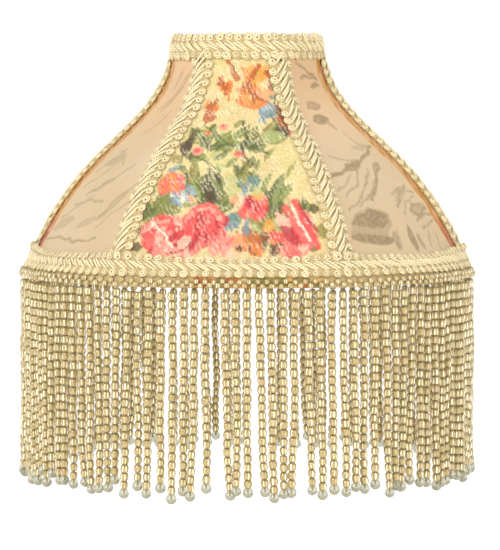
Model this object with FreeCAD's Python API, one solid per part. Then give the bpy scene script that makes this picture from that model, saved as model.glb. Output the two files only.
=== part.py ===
import FreeCAD, Part
import math
import os

# A bell-shaped lamp shade: six cloth panels on a wire frame, trimmed with braid, over a beaded fringe.
# Millimetres, +Z up. The fitter washer's hole is on the Z axis, and Z = 0 is the washer's underside.

# wire frame
rib_count = 6
wire_radius = 1.1
top_ring_radius = 30.0
bottom_ring_radius = 96.0
frame_height = 101.6
weld_gap = 0.05

# rib curve: how far it leans out from upright at each end, and how far that lean pulls it
top_lean = 6.8
top_pull = 44.6
bottom_lean = 19.8
bottom_pull = 63.5
rib_stations = 16

# spider fitter
fitter_drop = 12.0
finial_hole_radius = 5.55
washer_radius = 12.5
washer_thickness = 1.6
arm_count = 3
arm_tip_radius = 7.5
arm_landing = 5.5
arm_bend_radius = 4.0

# cloth: the panels outside the wires and the lining inside them
cloth_thickness = 0.6
lining_thickness = 0.4
cloth_gap = 0.3
seam_gap = 0.4
hem_drop = 2.0
panel_bow = 0.03
ring_grip = 10.0
skin_step = 3.175

# braid trims
braid_width = 12.0
braid_thickness = 2.2
trim_gap = 0.1
top_braid_rise = 3.3
top_braid_height = 12.4
bottom_braid_lift = 1.5
bottom_braid_height = 11.6
bottom_braid_dip = 4.2

# fringe: its ribbon tape, and the groups of bead strands
tape_thickness = 0.4
tape_height = 8.0
fringe_groups = 20
strand_radius = 1.85
strand_length = 82.0
strand_extra = (0.0, 2.4, 0.9, 3.2, 1.4, 2.6)
strand_gap = 0.4
bead_gap = 0.1
end_bead_radius = 2.375
end_bead_clearance = 0.4

# heights of the wire rings' centres, from the washer's underside
top_ring_z = fitter_drop
bottom_ring_z = top_ring_z - frame_height
hem_z = bottom_ring_z - hem_drop

# distances out from a rib's centreline to each layer, square to the rib
rib_angle = 2 * math.pi / rib_count
panel_inside = (wire_radius + cloth_gap) / math.cos(rib_angle / 2)
panel_outside = panel_inside + cloth_thickness
tape_inside = panel_outside + trim_gap
tape_outside = tape_inside + tape_thickness
lining_outside = -(wire_radius + cloth_gap)
lining_inside = lining_outside - lining_thickness


def vector_at(radius, angle, z):
    return FreeCAD.Vector(radius * math.cos(angle), radius * math.sin(angle), z)


# ---- the rib curve and the skin that hangs on it ----

def rib_poles():
    """Radius and height of the rib curve's four poles, from the top ring down."""
    lean_top = math.radians(top_lean)
    lean_bottom = math.radians(bottom_lean)
    return (
        (top_ring_radius, top_ring_z),
        (top_ring_radius + top_pull * math.sin(lean_top), top_ring_z - top_pull * math.cos(lean_top)),
        (bottom_ring_radius - bottom_pull * math.sin(lean_bottom),
         bottom_ring_z + bottom_pull * math.cos(lean_bottom)),
        (bottom_ring_radius, bottom_ring_z),
    )


def offset_point(t, offset):
    """Radius, height and lean of the curve that runs beside the rib at this offset."""
    poles = rib_poles()
    s = 1 - t
    weights = (s ** 3, 3 * s * s * t, 3 * s * t * t, t ** 3)
    radius = sum(w * p[0] for w, p in zip(weights, poles))
    z = sum(w * p[1] for w, p in zip(weights, poles))
    slopes = (s * s, 2 * s * t, t * t)
    run = sum(w * (b[0] - a[0]) for w, a, b in zip(slopes, poles, poles[1:]))
    drop = sum(w * (a[1] - b[1]) for w, a, b in zip(slopes, poles, poles[1:]))
    lean = math.atan2(run, drop)
    return radius + offset * math.cos(lean), z + offset * math.sin(lean), lean


def skin_radius(z, offset):
    """Radius at a rib, at height z, of the layer at this offset. It runs on straight past the rings."""
    for end in (0.0, 1.0):
        radius, end_z, lean = offset_point(end, offset)
        if (z >= end_z) == (end == 0.0):
            return radius + (end_z - z) * math.tan(lean)
    low, high = 0.0, 1.0
    for _ in range(40):
        middle = (low + high) / 2
        if offset_point(middle, offset)[1] > z:
            low = middle
        else:
            high = middle
    return offset_point(low, offset)[0]


def roundness(z):
    """1 where the skin is round, at the rings, and nearly 0 where it is flat between the ribs."""
    grips = (1 / (1 + ((z - ring_z) / ring_grip) ** 2) for ring_z in (bottom_ring_z, top_ring_z))
    return panel_bow + (1 - panel_bow) * max(grips)


def skin_point(z, offset, rib, distance):
    """A point of the skin at height z, this far along the straight line from one rib to the next."""
    radius = skin_radius(z, offset)
    chord = 2 * radius * math.sin(rib_angle / 2)
    rise = roundness(z) * radius * (1 - math.cos(rib_angle / 2))
    bow_radius = (chord ** 2 / 4 + rise ** 2) / (2 * rise)
    along = abs(distance)
    bulge = math.sqrt(bow_radius ** 2 - (along - chord / 2) ** 2) - (bow_radius - rise)
    side = math.copysign(1, distance)
    start = vector_at(radius, rib * rib_angle, z)
    line_angle = rib * rib_angle + side * (math.pi / 2 + rib_angle / 2)
    out_angle = rib * rib_angle + side * rib_angle / 2
    return start + vector_at(along, line_angle, 0) + vector_at(bulge, out_angle, 0)


def skin_arc(z, offset, rib, inset):
    """The skin's section between two ribs, stopping this far short of each."""
    chord = 2 * skin_radius(z, offset) * math.sin(rib_angle / 2)
    start = skin_point(z, offset, rib, inset)
    middle = skin_point(z, offset, rib, chord / 2)
    end = skin_point(z, offset, rib, chord - inset)
    return Part.Arc(start, middle, end).toShape()


def section_heights(low, high):
    """The heights of a layer's sections: its two ends, and the stations that all layers share between."""
    count = round(frame_height / skin_step)
    step = frame_height / count
    stations = [bottom_ring_z + i * step for i in range(count + 1)]
    return [low] + [z for z in stations if low + step / 3 < z < high - step / 3] + [high]


def cloth_panel(rib, low, high, inside, outside, inset):
    """A sheet of cloth between two ribs."""
    sections = []
    for z in section_heights(low, high):
        outer = skin_arc(z, outside, rib, inset)
        inner = skin_arc(z, inside, rib, inset)
        start = Part.makeLine(inner.Vertexes[0].Point, outer.Vertexes[0].Point)
        end = Part.makeLine(outer.Vertexes[1].Point, inner.Vertexes[1].Point)
        sections.append(Part.Wire([start, outer, end, inner]))
    return Part.makeLoft(sections, True, False)


def skin_core(low, high, offset):
    """Everything inside the skin at this offset, between two heights."""
    sections = []
    for z in section_heights(low, high):
        sections.append(Part.Wire([skin_arc(z, offset, rib, 0.0) for rib in range(rib_count)]))
    return Part.makeLoft(sections, True, False)


def skin_band(low, high, inside, outside):
    """A closed band that follows the skin all the way round."""
    over = cloth_gap
    slab = Part.makeBox(4 * bottom_ring_radius, 4 * bottom_ring_radius, high - low,
                        FreeCAD.Vector(-2 * bottom_ring_radius, -2 * bottom_ring_radius, low))
    outer = skin_core(low - over, high + over, outside)
    inner = skin_core(low - 2 * over, high + 2 * over, inside)
    return outer.cut(inner).common(slab)


# ---- wire frame ----

def ring(radius, z, tube_radius):
    return Part.makeTorus(radius, tube_radius, FreeCAD.Vector(0, 0, z), FreeCAD.Vector(0, 0, 1))


def cut_back(wire):
    """The wire, cut back where it is welded to a ring."""
    wire = wire.cut(ring(top_ring_radius, top_ring_z, wire_radius + weld_gap))
    return wire.cut(ring(bottom_ring_radius, bottom_ring_z, wire_radius + weld_gap))


def rib_wire(angle):
    origin = FreeCAD.Vector(0, 0, 0)
    sections = []
    for station in range(rib_stations + 1):
        radius, z, lean = offset_point(station / rib_stations, 0)
        circle = Part.makeCircle(wire_radius)
        circle.rotate(origin, FreeCAD.Vector(0, 1, 0), -math.degrees(lean))
        circle.translate(FreeCAD.Vector(radius, 0, z))
        circle.rotate(origin, FreeCAD.Vector(0, 0, 1), math.degrees(angle))
        sections.append(Part.Wire([circle]))
    return cut_back(Part.makeLoft(sections, True, False))


def arm_points(arm):
    """Where a spider arm leaves the top ring, where it bends, and its tip on the washer's upper face."""
    angle = arm * 2 * math.pi / arm_count + rib_angle / 2
    landing_z = washer_thickness + wire_radius + weld_gap
    ring_end = vector_at(top_ring_radius, angle, top_ring_z)
    corner = vector_at(arm_tip_radius + arm_landing, angle, landing_z)
    tip = vector_at(arm_tip_radius, angle, landing_z)
    return ring_end, corner, tip


def spider_arm(arm):
    """A wire from the top ring down to the washer, with one bend."""
    ring_end, corner, tip = arm_points(arm)
    slope = (ring_end - corner).normalize()
    inward = (tip - corner).normalize()
    turn = math.pi - slope.getAngle(inward)
    setback = arm_bend_radius * math.tan(turn / 2)
    bend_start = corner + slope * setback
    bend_end = corner + inward * setback
    middle_way = (slope + inward).normalize()
    bend_middle = corner + middle_way * (arm_bend_radius / math.cos(turn / 2) - arm_bend_radius)
    path = Part.Wire([
        Part.makeLine(ring_end, bend_start),
        Part.Arc(bend_start, bend_middle, bend_end).toShape(),
        Part.makeLine(bend_end, tip),
    ])
    profile = Part.Wire([Part.makeCircle(wire_radius, ring_end, corner - ring_end)])
    return cut_back(path.makePipeShell([profile], True, True))


def fitter_washer():
    disc = Part.makeCylinder(washer_radius, washer_thickness)
    return disc.cut(Part.makeCylinder(finial_hole_radius, washer_thickness))


# ---- lining ----

def lining():
    """The inner cloth, with a slot where each spider arm comes through."""
    cloth = skin_band(bottom_ring_z, top_ring_z, lining_inside, lining_outside)
    for arm in range(arm_count):
        ring_end, corner, tip = arm_points(arm)
        length = (corner - ring_end).Length
        cloth = cloth.cut(Part.makeCylinder(wire_radius + cloth_gap, length, ring_end, corner - ring_end))
    return cloth


# ---- braid ----

def rib_braid(rib):
    """A braid folded over a rib, on the edges of the two panels that meet there."""
    inside = panel_outside + trim_gap
    outside = inside + braid_thickness
    half = braid_width / 2
    low = bottom_ring_z + bottom_braid_lift + bottom_braid_height + cloth_gap
    high = top_ring_z + top_braid_rise - top_braid_height - cloth_gap
    sections = []
    for z in section_heights(low, high):
        outer = [skin_point(z, outside, rib, x) for x in (-half, 0, half)]
        inner = [skin_point(z, inside, rib, x) for x in (half, 0, -half)]
        sections.append(Part.makePolygon(outer + inner + outer[:1]))
    return Part.makeLoft(sections, True, False)


def top_braid():
    inside = panel_outside + trim_gap
    high = top_ring_z + top_braid_rise
    return skin_band(high - top_braid_height, high, inside, inside + braid_thickness)


def bottom_braid():
    """A braid round the foot. Its upper edge dips between the ribs, where the cloth slopes away more."""
    inside = tape_outside + trim_gap
    low = bottom_ring_z + bottom_braid_lift
    high = low + bottom_braid_height
    band = skin_band(low, high, inside, inside + braid_thickness)
    reach = bottom_ring_radius * math.sin(rib_angle / 2)
    dip_radius = (reach ** 2 + bottom_braid_dip ** 2) / (2 * bottom_braid_dip)
    centre = FreeCAD.Vector(0, 0, high - bottom_braid_dip + dip_radius)
    for rib in range(rib_count):
        outward = vector_at(1, (rib + 0.5) * rib_angle, 0)
        band = band.cut(Part.makeCylinder(dip_radius, 2 * bottom_ring_radius, centre, outward))
    return band


# ---- fringe ----

def bead_strand(extra):
    """A strand of beads with a round top at the origin's height, and the larger bead that ends it."""
    bottom = -(strand_length + extra)
    shoulder = FreeCAD.Vector(strand_radius, 0, -strand_radius)
    crown_middle = FreeCAD.Vector(strand_radius * math.sin(math.pi / 4), 0,
                                  strand_radius * (math.cos(math.pi / 4) - 1))
    top = FreeCAD.Vector(0, 0, 0)
    foot = FreeCAD.Vector(0, 0, bottom)
    foot_edge = FreeCAD.Vector(strand_radius, 0, bottom)
    outline = Part.Wire([
        Part.makeLine(foot, foot_edge),
        Part.makeLine(foot_edge, shoulder),
        Part.Arc(shoulder, crown_middle, top).toShape(),
        Part.makeLine(top, foot),
    ])
    strand = Part.Face(outline).revolve(top, FreeCAD.Vector(0, 0, 1), 360)
    flat_rise = math.sqrt(end_bead_radius ** 2 - strand_radius ** 2)
    flat_angle = math.degrees(math.asin(flat_rise / end_bead_radius))
    bead_centre = FreeCAD.Vector(0, 0, bottom - bead_gap - flat_rise)
    end_bead = Part.makeSphere(end_bead_radius, bead_centre, FreeCAD.Vector(0, 0, 1), -90, flat_angle)
    return [strand, end_bead]


def fringe_radius():
    return skin_radius(hem_z, (tape_inside + tape_outside) / 2)


def strands_per_group():
    """As many strands as fit with their end beads side by side."""
    group_room = 2 * math.pi * fringe_radius() / fringe_groups
    return math.floor(group_room / (2 * end_bead_radius + end_bead_clearance))


def fringe_group(index):
    """Neighbouring strands that hang from one short length of the tape."""
    count = strands_per_group()
    strand_pitch = 2 * math.pi / (fringe_groups * count)
    solids = []
    for strand in range(count):
        angle = strand_pitch * (index * count + strand + 0.5)
        place = vector_at(fringe_radius(), angle, hem_z - strand_gap)
        for solid in bead_strand(strand_extra[strand % len(strand_extra)]):
            solid.translate(place)
            solids.append(solid)
    return Part.makeCompound(solids)


# ---- the named sub-parts ----

def all_nodes():
    nodes = {}
    nodes["top_ring"] = ring(top_ring_radius, top_ring_z, wire_radius)
    nodes["bottom_ring"] = ring(bottom_ring_radius, bottom_ring_z, wire_radius)
    nodes["fitter_washer"] = fitter_washer()
    for arm in range(arm_count):
        nodes[f"spider_arm_{arm + 1}"] = spider_arm(arm)
    panel_top = top_ring_z + wire_radius
    inset = seam_gap / 2
    for rib in range(rib_count):
        nodes[f"rib_{rib + 1}"] = rib_wire(rib * rib_angle)
        nodes[f"rib_braid_{rib + 1}"] = rib_braid(rib)
        cloth = "floral" if rib % 2 == 0 else "damask"
        panel = cloth_panel(rib, hem_z, panel_top, panel_inside, panel_outside, inset)
        nodes[f"{cloth}_panel_{rib // 2 + 1}"] = panel
    nodes["lining"] = lining()
    nodes["top_braid"] = top_braid()
    nodes["bottom_braid"] = bottom_braid()
    nodes["fringe_tape"] = skin_band(hem_z, hem_z + tape_height, tape_inside, tape_outside)
    for group in range(fringe_groups):
        nodes[f"fringe_group_{group + 1:02d}"] = fringe_group(group)
    return nodes


os.makedirs("parts", exist_ok=True)
for name, shape in all_nodes().items():
    shape.exportStep(f"parts/{name}.step")
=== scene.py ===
import math

import bpy
import numpy as np
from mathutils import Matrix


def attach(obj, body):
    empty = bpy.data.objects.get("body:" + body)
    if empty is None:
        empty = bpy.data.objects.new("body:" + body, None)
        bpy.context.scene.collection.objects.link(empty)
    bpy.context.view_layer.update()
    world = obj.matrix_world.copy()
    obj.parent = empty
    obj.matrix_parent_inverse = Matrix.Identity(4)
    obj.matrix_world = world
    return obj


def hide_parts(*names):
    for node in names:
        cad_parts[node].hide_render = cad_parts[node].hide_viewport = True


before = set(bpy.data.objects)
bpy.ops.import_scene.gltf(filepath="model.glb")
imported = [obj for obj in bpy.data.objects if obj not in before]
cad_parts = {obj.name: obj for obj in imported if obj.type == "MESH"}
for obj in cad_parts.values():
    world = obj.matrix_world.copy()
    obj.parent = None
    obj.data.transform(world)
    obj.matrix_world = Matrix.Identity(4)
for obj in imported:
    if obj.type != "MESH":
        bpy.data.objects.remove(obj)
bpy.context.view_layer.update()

mm = 0.001               # shapes are worked out in millimetres and made in metres


# camera and lights

cameraSetup = {"distance": 1.333, "around": 4.8, "eyeHeight": -0.014, "lookDown": 3.34, "lens": 196.2,
               "sensor": 36.0, "shiftX": 0.0055, "nearest": 0.05}
lightSetup = {
    "key": {"place": (-0.85, -1.25, 0.75), "size": 0.8, "power": 17.0},
    "fill": {"place": (1.15, -1.0, 0.25), "size": 0.9, "power": 8.0},
    "top": {"place": (0.1, 0.25, 1.25), "size": 1.0, "power": 8.0},
}
worldSetup = {"Color": (1.0, 0.99, 0.97, 1), "Strength": 0.5}
aimHeight = -0.08        # the lights point at the middle of the shade's height


def placeCamera(setup):
    data = bpy.data.cameras.new("shadeCamera")
    data.lens = setup["lens"]
    data.sensor_width = setup["sensor"]
    data.shift_x = setup["shiftX"]
    data.clip_start = setup["nearest"]
    camera = bpy.data.objects.new("shadeCamera", data)
    around, distance = math.radians(setup["around"]), setup["distance"]
    camera.location = (distance * math.sin(around), -distance * math.cos(around), setup["eyeHeight"])
    camera.rotation_euler = (math.radians(90 - setup["lookDown"]), 0, around)
    bpy.context.scene.collection.objects.link(camera)
    bpy.context.scene.camera = camera


def placeLight(name, setup):
    data = bpy.data.lights.new(name, "AREA")
    data.size = setup["size"]
    data.energy = setup["power"]
    light = bpy.data.objects.new(name, data)
    light.location = setup["place"]
    aim = -light.location
    aim.z += aimHeight
    light.rotation_euler = aim.to_track_quat("-Z", "Y").to_euler()
    bpy.context.scene.collection.objects.link(light)


placeCamera(cameraSetup)
for lightName, lightValues in lightSetup.items():
    placeLight(lightName, lightValues)
world = bpy.data.worlds.new("studio")
world.use_nodes = True
for inputName, inputValue in worldSetup.items():
    world.node_tree.nodes["Background"].inputs[inputName].default_value = inputValue
bpy.context.scene.world = world
bpy.context.scene.view_settings.view_transform = "Standard"
print("camera and lights placed")


# small helpers for meshes and colours

def paint(red, green, blue):
    # a colour as a painter mixes it, 0 to 255, turned into the linear values that shaders take
    return np.array([((c / 255 + 0.055) / 1.055) ** 2.4 if c > 10 else c / 3295 for c in (red, green, blue)])


def colour4(value):
    return (float(value[0]), float(value[1]), float(value[2]), 1.0)


def makeMesh(name, points, faces, scale=mm):
    mesh = bpy.data.meshes.new(name)
    groups = faces if isinstance(faces, list) else [faces]
    loops = np.concatenate([group.ravel() for group in groups]).astype(np.int32)
    counts = np.concatenate([np.full(len(group), group.shape[1]) for group in groups])
    starts = np.concatenate([[0], np.cumsum(counts)[:-1]]).astype(np.int32)
    mesh.vertices.add(len(points))
    mesh.vertices.foreach_set("co", (np.asarray(points) * scale).astype(np.float32).ravel())
    mesh.loops.add(len(loops))
    mesh.loops.foreach_set("vertex_index", loops)
    mesh.polygons.add(len(starts))
    mesh.polygons.foreach_set("loop_start", starts)
    mesh.update(calc_edges=True)
    mesh.polygons.foreach_set("use_smooth", np.ones(len(starts), bool))
    return mesh


def linkObject(name, mesh):
    made = bpy.data.objects.new(name, mesh)
    bpy.context.scene.collection.objects.link(made)
    return made


def makePiece(name, mesh, material):
    piece = linkObject(name, mesh)
    if material is not None:
        mesh.materials.append(material)
    return piece


def storeColour(mesh, name, values):
    layer = mesh.color_attributes.new(name, "FLOAT_COLOR", "POINT")
    full = np.concatenate([values, np.ones((len(values), 1))], axis=1)
    layer.data.foreach_set("color", full.astype(np.float32).ravel())


def storeVector(mesh, name, values):
    layer = mesh.attributes.new(name, "FLOAT_VECTOR", "POINT")
    layer.data.foreach_set("vector", values.astype(np.float32).ravel())


def storeValue(mesh, name, values):
    layer = mesh.attributes.new(name, "FLOAT", "POINT")
    layer.data.foreach_set("value", values.astype(np.float32).ravel())


def gridFaces(rows, columns, wrapRows=False, wrapColumns=False):
    # quads of a grid whose points run along the columns first, wound so that rows x columns faces outwards
    row = np.arange(rows if wrapRows else rows - 1)[:, None]
    column = np.arange(columns if wrapColumns else columns - 1)[None, :]
    nextRow, nextColumn = (row + 1) % rows, (column + 1) % columns
    corners = [row * columns + column, nextRow * columns + column, nextRow * columns + nextColumn,
               row * columns + nextColumn]
    return np.stack([c + 0 * row + 0 * column for c in corners], -1).reshape(-1, 4)


def cloudNoise(x, y, seed):
    # smooth values from 0 to 1 over the plane, with lattice cells one unit wide
    lattice = np.random.RandomState(seed).rand(64, 64)
    cellX, cellY = np.floor(x).astype(int), np.floor(y).astype(int)
    partX, partY = x - cellX, y - cellY
    partX, partY = partX * partX * (3 - 2 * partX), partY * partY * (3 - 2 * partY)

    def corner(dx, dy):
        return lattice[(cellX + dx) % 64, (cellY + dy) % 64]

    low = corner(0, 0) * (1 - partX) + corner(1, 0) * partX
    high = corner(0, 1) * (1 - partX) + corner(1, 1) * partX
    return low * (1 - partY) + high * partY


def smoothStep(value, low, high):
    share = np.clip((value - low) / (high - low), 0, 1)
    return share * share * (3 - 2 * share)


# small helpers for node trees

def feed(tree, socket, value):
    # joins a socket to another, or gives it a constant
    if isinstance(value, bpy.types.NodeSocket):
        tree.links.new(value, socket)
    else:
        socket.default_value = value


def addNode(tree, kind, inputs=None, **settings):
    made = tree.nodes.new(kind)
    for key, value in settings.items():
        setattr(made, key, value)
    for key, value in (inputs or {}).items():
        feed(tree, made.inputs[key], value)
    return made


def doMath(tree, operation, *values):
    return addNode(tree, "ShaderNodeMath", dict(enumerate(values)), operation=operation).outputs[0]


def mixColours(tree, share, first, second, blend="MIX"):
    made = addNode(tree, "ShaderNodeMix", data_type="RGBA", blend_type=blend)
    for index, value in ((0, share), (6, first), (7, second)):
        feed(tree, made.inputs[index], colour4(value) if isinstance(value, np.ndarray) else value)
    return made.outputs[2]


def newGroup(name, kind, inputs, outputs):
    tree = bpy.data.node_groups.new(name, kind)
    for label, socketType, default in inputs:
        socket = tree.interface.new_socket(label, in_out="INPUT", socket_type=socketType)
        if default is not None:
            socket.default_value = default
    for label, socketType in outputs:
        tree.interface.new_socket(label, in_out="OUTPUT", socket_type=socketType)
    return tree, tree.nodes.new("NodeGroupInput").outputs, tree.nodes.new("NodeGroupOutput").inputs


def newMaterial(name):
    material = bpy.data.materials.new(name)
    material.use_nodes = True
    tree = material.node_tree
    return material, tree, tree.nodes["Principled BSDF"]


def useGroup(tree, group, inputs):
    return addNode(tree, "ShaderNodeGroup", inputs, node_tree=group).outputs


def readLayer(tree, name, output="Fac"):
    return addNode(tree, "ShaderNodeAttribute", attribute_name=name).outputs[output]


def objectPlace(tree):
    return addNode(tree, "ShaderNodeTexCoord").outputs["Object"]


def splitAxes(tree, vector):
    return addNode(tree, "ShaderNodeSeparateXYZ", {0: vector}).outputs


def joinAxes(tree, *values):
    return addNode(tree, "ShaderNodeCombineXYZ", dict(enumerate(values))).outputs[0]


def addNoise(tree, place, scale, detail):
    return addNode(tree, "ShaderNodeTexNoise", {"Vector": place, "Scale": scale, "Detail": detail}).outputs[0]


def clampShare(tree, value):
    return addNode(tree, "ShaderNodeClamp", {0: value}).outputs[0]


def shadeColour(tree, colour, *shades):
    # a colour times the grey that its shades make together
    shade = doMath(tree, "MULTIPLY", *shades) if len(shades) > 1 else shades[0]
    grey = addNode(tree, "ShaderNodeCombineColor", {0: shade, 1: shade, 2: shade}).outputs[0]
    return mixColours(tree, 1.0, colour, grey, "MULTIPLY")


def finishShader(tree, shader, values, height=None, strength=0.5, distance=0.0001):
    # sets the shader's inputs, and its bump where there is a height
    for name, value in values.items():
        feed(tree, shader.inputs[name], value)
    if height is not None:
        bump = addNode(tree, "ShaderNodeBump", {"Strength": strength, "Distance": distance, "Height": height})
        tree.links.new(bump.outputs["Normal"], shader.inputs["Normal"])


# the bell's skin: a curve down each rib, nearly flat cloth between ribs, and round at both rings

bell = {
    "ribs": 6, "topRadius": 30.0, "topHeight": 12.0, "footRadius": 96.0, "footHeight": -89.6,
    "topLean": 6.8, "topPull": 44.6, "footLean": 19.8, "footPull": 63.5, "bow": 0.03, "ringGrip": 10.0,
    "curvePoints": 500,
}
clothLayers = {"inside": 1.6166, "outside": 2.2166, "liningOutside": -1.4, "liningInside": -1.8,
               "tapeInside": 2.3166, "tapeOutside": 2.7166, "braidBase": 2.3166, "footBraidBase": 2.8166}
hemHeight = -91.6
clothTop = 13.1
fullTurn = 2 * math.pi
ribStep = fullTurn / bell["ribs"]


def ribCurve():
    # radius, height and lean down a rib's centreline
    topLean, footLean = math.radians(bell["topLean"]), math.radians(bell["footLean"])
    topPull, footPull = bell["topPull"], bell["footPull"]
    topRadius, topHeight = bell["topRadius"], bell["topHeight"]
    footRadius, footHeight = bell["footRadius"], bell["footHeight"]
    poles = np.array([
        (topRadius, topHeight),
        (topRadius + topPull * math.sin(topLean), topHeight - topPull * math.cos(topLean)),
        (footRadius - footPull * math.sin(footLean), footHeight + footPull * math.cos(footLean)),
        (footRadius, footHeight),
    ])
    t = np.linspace(0, 1, bell["curvePoints"])[:, None]
    s = 1 - t
    line = s ** 3 * poles[0] + 3 * s * s * t * poles[1] + 3 * s * t * t * poles[2] + t ** 3 * poles[3]
    run = s * s * (poles[1] - poles[0]) + 2 * s * t * (poles[2] - poles[1]) + t * t * (poles[3] - poles[2])
    return line[:, 0], line[:, 1], np.arctan2(run[:, 0], -run[:, 1])


curveRadius, curveHeight, curveLean = ribCurve()


def skinRadius(height, offset):
    radius = curveRadius + offset * np.cos(curveLean)
    level = curveHeight + offset * np.sin(curveLean)
    height = np.asarray(height, float)
    found = np.interp(height, level[::-1], radius[::-1])
    found = np.where(height > level[0], radius[0] + (level[0] - height) * math.tan(curveLean[0]), found)
    return np.where(height < level[-1], radius[-1] + (level[-1] - height) * math.tan(curveLean[-1]), found)


def roundness(height):
    rings = (bell["footHeight"], bell["topHeight"])
    grips = [1 / (1 + ((height - ring) / bell["ringGrip"]) ** 2) for ring in rings]
    return bell["bow"] + (1 - bell["bow"]) * np.maximum(*grips)


def skinPoint(height, offset, rib, along):
    # along is the distance from the rib, towards the next rib if positive, on the straight line between them
    height, along = np.broadcast_arrays(np.asarray(height, float), np.asarray(along, float))
    radius = skinRadius(height, offset)
    rise = roundness(height) * radius * (1 - math.cos(ribStep / 2))
    bowRadius = (radius ** 2 / 4 + rise ** 2) / (2 * rise)
    reach = np.abs(along)
    bulge = np.sqrt(np.maximum(bowRadius ** 2 - (reach - radius / 2) ** 2, 0)) - (bowRadius - rise)
    side = np.where(along < 0, -1.0, 1.0)
    ribAngle = rib * ribStep
    lineAngle = ribAngle + side * (math.pi / 2 + ribStep / 2)
    outAngle = ribAngle + side * ribStep / 2
    x = radius * np.cos(ribAngle) + reach * np.cos(lineAngle) + bulge * np.cos(outAngle)
    y = radius * np.sin(ribAngle) + reach * np.sin(lineAngle) + bulge * np.sin(outAngle)
    return np.stack([x, y, height], -1)


def aroundPoint(height, offset, turn):
    # the skin at an angle round the axis, in radians
    panel = np.floor(turn / ribStep)
    part = turn - panel * ribStep
    radius = skinRadius(height, offset)
    along = radius * np.sin(part) / np.sin(math.pi - ribStep - part)
    return skinPoint(height, offset, panel, along)


def pathLength(points, axis=0):
    steps = np.linalg.norm(np.diff(points, axis=axis), axis=-1)
    return np.concatenate([np.zeros_like(np.take(steps, [0], axis)), np.cumsum(steps, axis)], axis)


def distanceFromRib(turns):
    # round the foot or any ring, as an angle
    return np.abs((turns / ribStep + 0.5) % 1 - 0.5) * ribStep


# shader groups that several finishes share

def makeWeaveGroup():
    # over-and-under threads on a flat pattern, painted darker in the dips between threads as painted shade,
    # with each thread a little lighter or darker than the next
    tree, given, out = newGroup("woven", "ShaderNodeTree", [
        ("Place", "NodeSocketVector", None), ("Across", "NodeSocketFloat", 1.0),
        ("Along", "NodeSocketFloat", 1.0), ("Uneven", "NodeSocketFloat", 0.2)],
        [("Shade", "NodeSocketFloat"), ("Height", "NodeSocketFloat")])
    apart = splitAxes(tree, given["Place"])
    threads = [doMath(tree, "MULTIPLY", apart[k], given[name]) for k, name in enumerate(("Across", "Along"))]
    ridges = [doMath(tree, "ABSOLUTE", doMath(tree, "SINE", doMath(tree, "MULTIPLY", thread, math.pi)))
              for thread in threads]
    numbers = [doMath(tree, "FLOOR", thread) for thread in threads]
    over = doMath(tree, "MODULO", doMath(tree, "ABSOLUTE", doMath(tree, "ADD", *numbers)), 2.0)
    warp = doMath(tree, "MULTIPLY", ridges[0], over)
    weft = doMath(tree, "MULTIPLY", ridges[1], doMath(tree, "SUBTRACT", 1.0, over))
    height = doMath(tree, "ADD", warp, weft)
    tint = addNode(tree, "ShaderNodeTexWhiteNoise", {"Vector": joinAxes(tree, *numbers)}).outputs["Value"]
    uneven = doMath(tree, "MULTIPLY", doMath(tree, "SUBTRACT", tint, 0.5), given["Uneven"])
    feed(tree, out["Shade"], doMath(tree, "ADD", doMath(tree, "MULTIPLY_ADD", height, 0.24, 0.82), uneven))
    feed(tree, out["Height"], height)
    return tree


def makeTwistGroup():
    # the strands of a twisted cord, from the distance along it and the side of it that a point is on; each
    # strand's grooves are painted darker as painted shade, and the same ridges give the bump height
    tree, given, out = newGroup("twisted", "ShaderNodeTree", [
        ("Length", "NodeSocketFloat", 0.0), ("Side", "NodeSocketVector", None),
        ("Lay", "NodeSocketFloat", 1.6), ("Strands", "NodeSocketFloat", 2.0)],
        [("Shade", "NodeSocketFloat"), ("Height", "NodeSocketFloat")])
    apart = splitAxes(tree, given["Side"])
    angle = doMath(tree, "MULTIPLY", doMath(tree, "ARCTAN2", apart[1], apart[0]), given["Strands"])
    turns = doMath(tree, "MULTIPLY", doMath(tree, "DIVIDE", given["Length"], given["Lay"]), fullTurn)
    wave = doMath(tree, "SINE", doMath(tree, "ADD", angle, turns))
    ridge = doMath(tree, "POWER", doMath(tree, "MULTIPLY_ADD", wave, 0.5, 0.5), 0.6)
    feed(tree, out["Shade"], doMath(tree, "MULTIPLY_ADD", ridge, 0.34, 0.70))
    feed(tree, out["Height"], ridge)
    return tree


def makeDustGroup():
    # soft cloudy soiling, and finer fibre flecks
    tree, given, out = newGroup("handled", "ShaderNodeTree", [
        ("Place", "NodeSocketVector", None), ("Size", "NodeSocketFloat", 20.0),
        ("Depth", "NodeSocketFloat", 0.1)], [("Shade", "NodeSocketFloat")])
    cloud = addNoise(tree, given["Place"], given["Size"], 4.0)
    fleck = addNoise(tree, given["Place"], doMath(tree, "MULTIPLY", given["Size"], 60.0), 2.0)
    soft, fine = [doMath(tree, "MULTIPLY", doMath(tree, "SUBTRACT", noise, 0.5), given["Depth"])
                  for noise in (cloud, fleck)]
    feed(tree, out["Shade"], doMath(tree, "ADD", doMath(tree, "MULTIPLY_ADD", soft, 2.0, 1.0), fine))
    return tree


wovenGroup = makeWeaveGroup()
twistedGroup = makeTwistGroup()
handledGroup = makeDustGroup()


# finishes

def clothMaterial(name, threads, roughness, sheen, bumpDepth, uneven):
    # painted colours from the mesh, broken up by the weave
    material, tree, shader = newMaterial(name)
    colour = readLayer(tree, "clothColour", "Color")
    place = readLayer(tree, "clothPlace", "Vector")
    weave = useGroup(tree, wovenGroup, {"Place": place, "Across": threads[0], "Along": threads[1],
                                        "Uneven": uneven})
    dust = useGroup(tree, handledGroup, {"Place": place, "Size": 0.06, "Depth": 0.10})
    finishShader(tree, shader, {
        "Base Color": shadeColour(tree, colour, weave["Shade"], dust["Shade"]), "Roughness": roughness,
        "Sheen Weight": sheen, "Sheen Roughness": 0.5}, weave["Height"], 0.55, bumpDepth)
    return material


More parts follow.
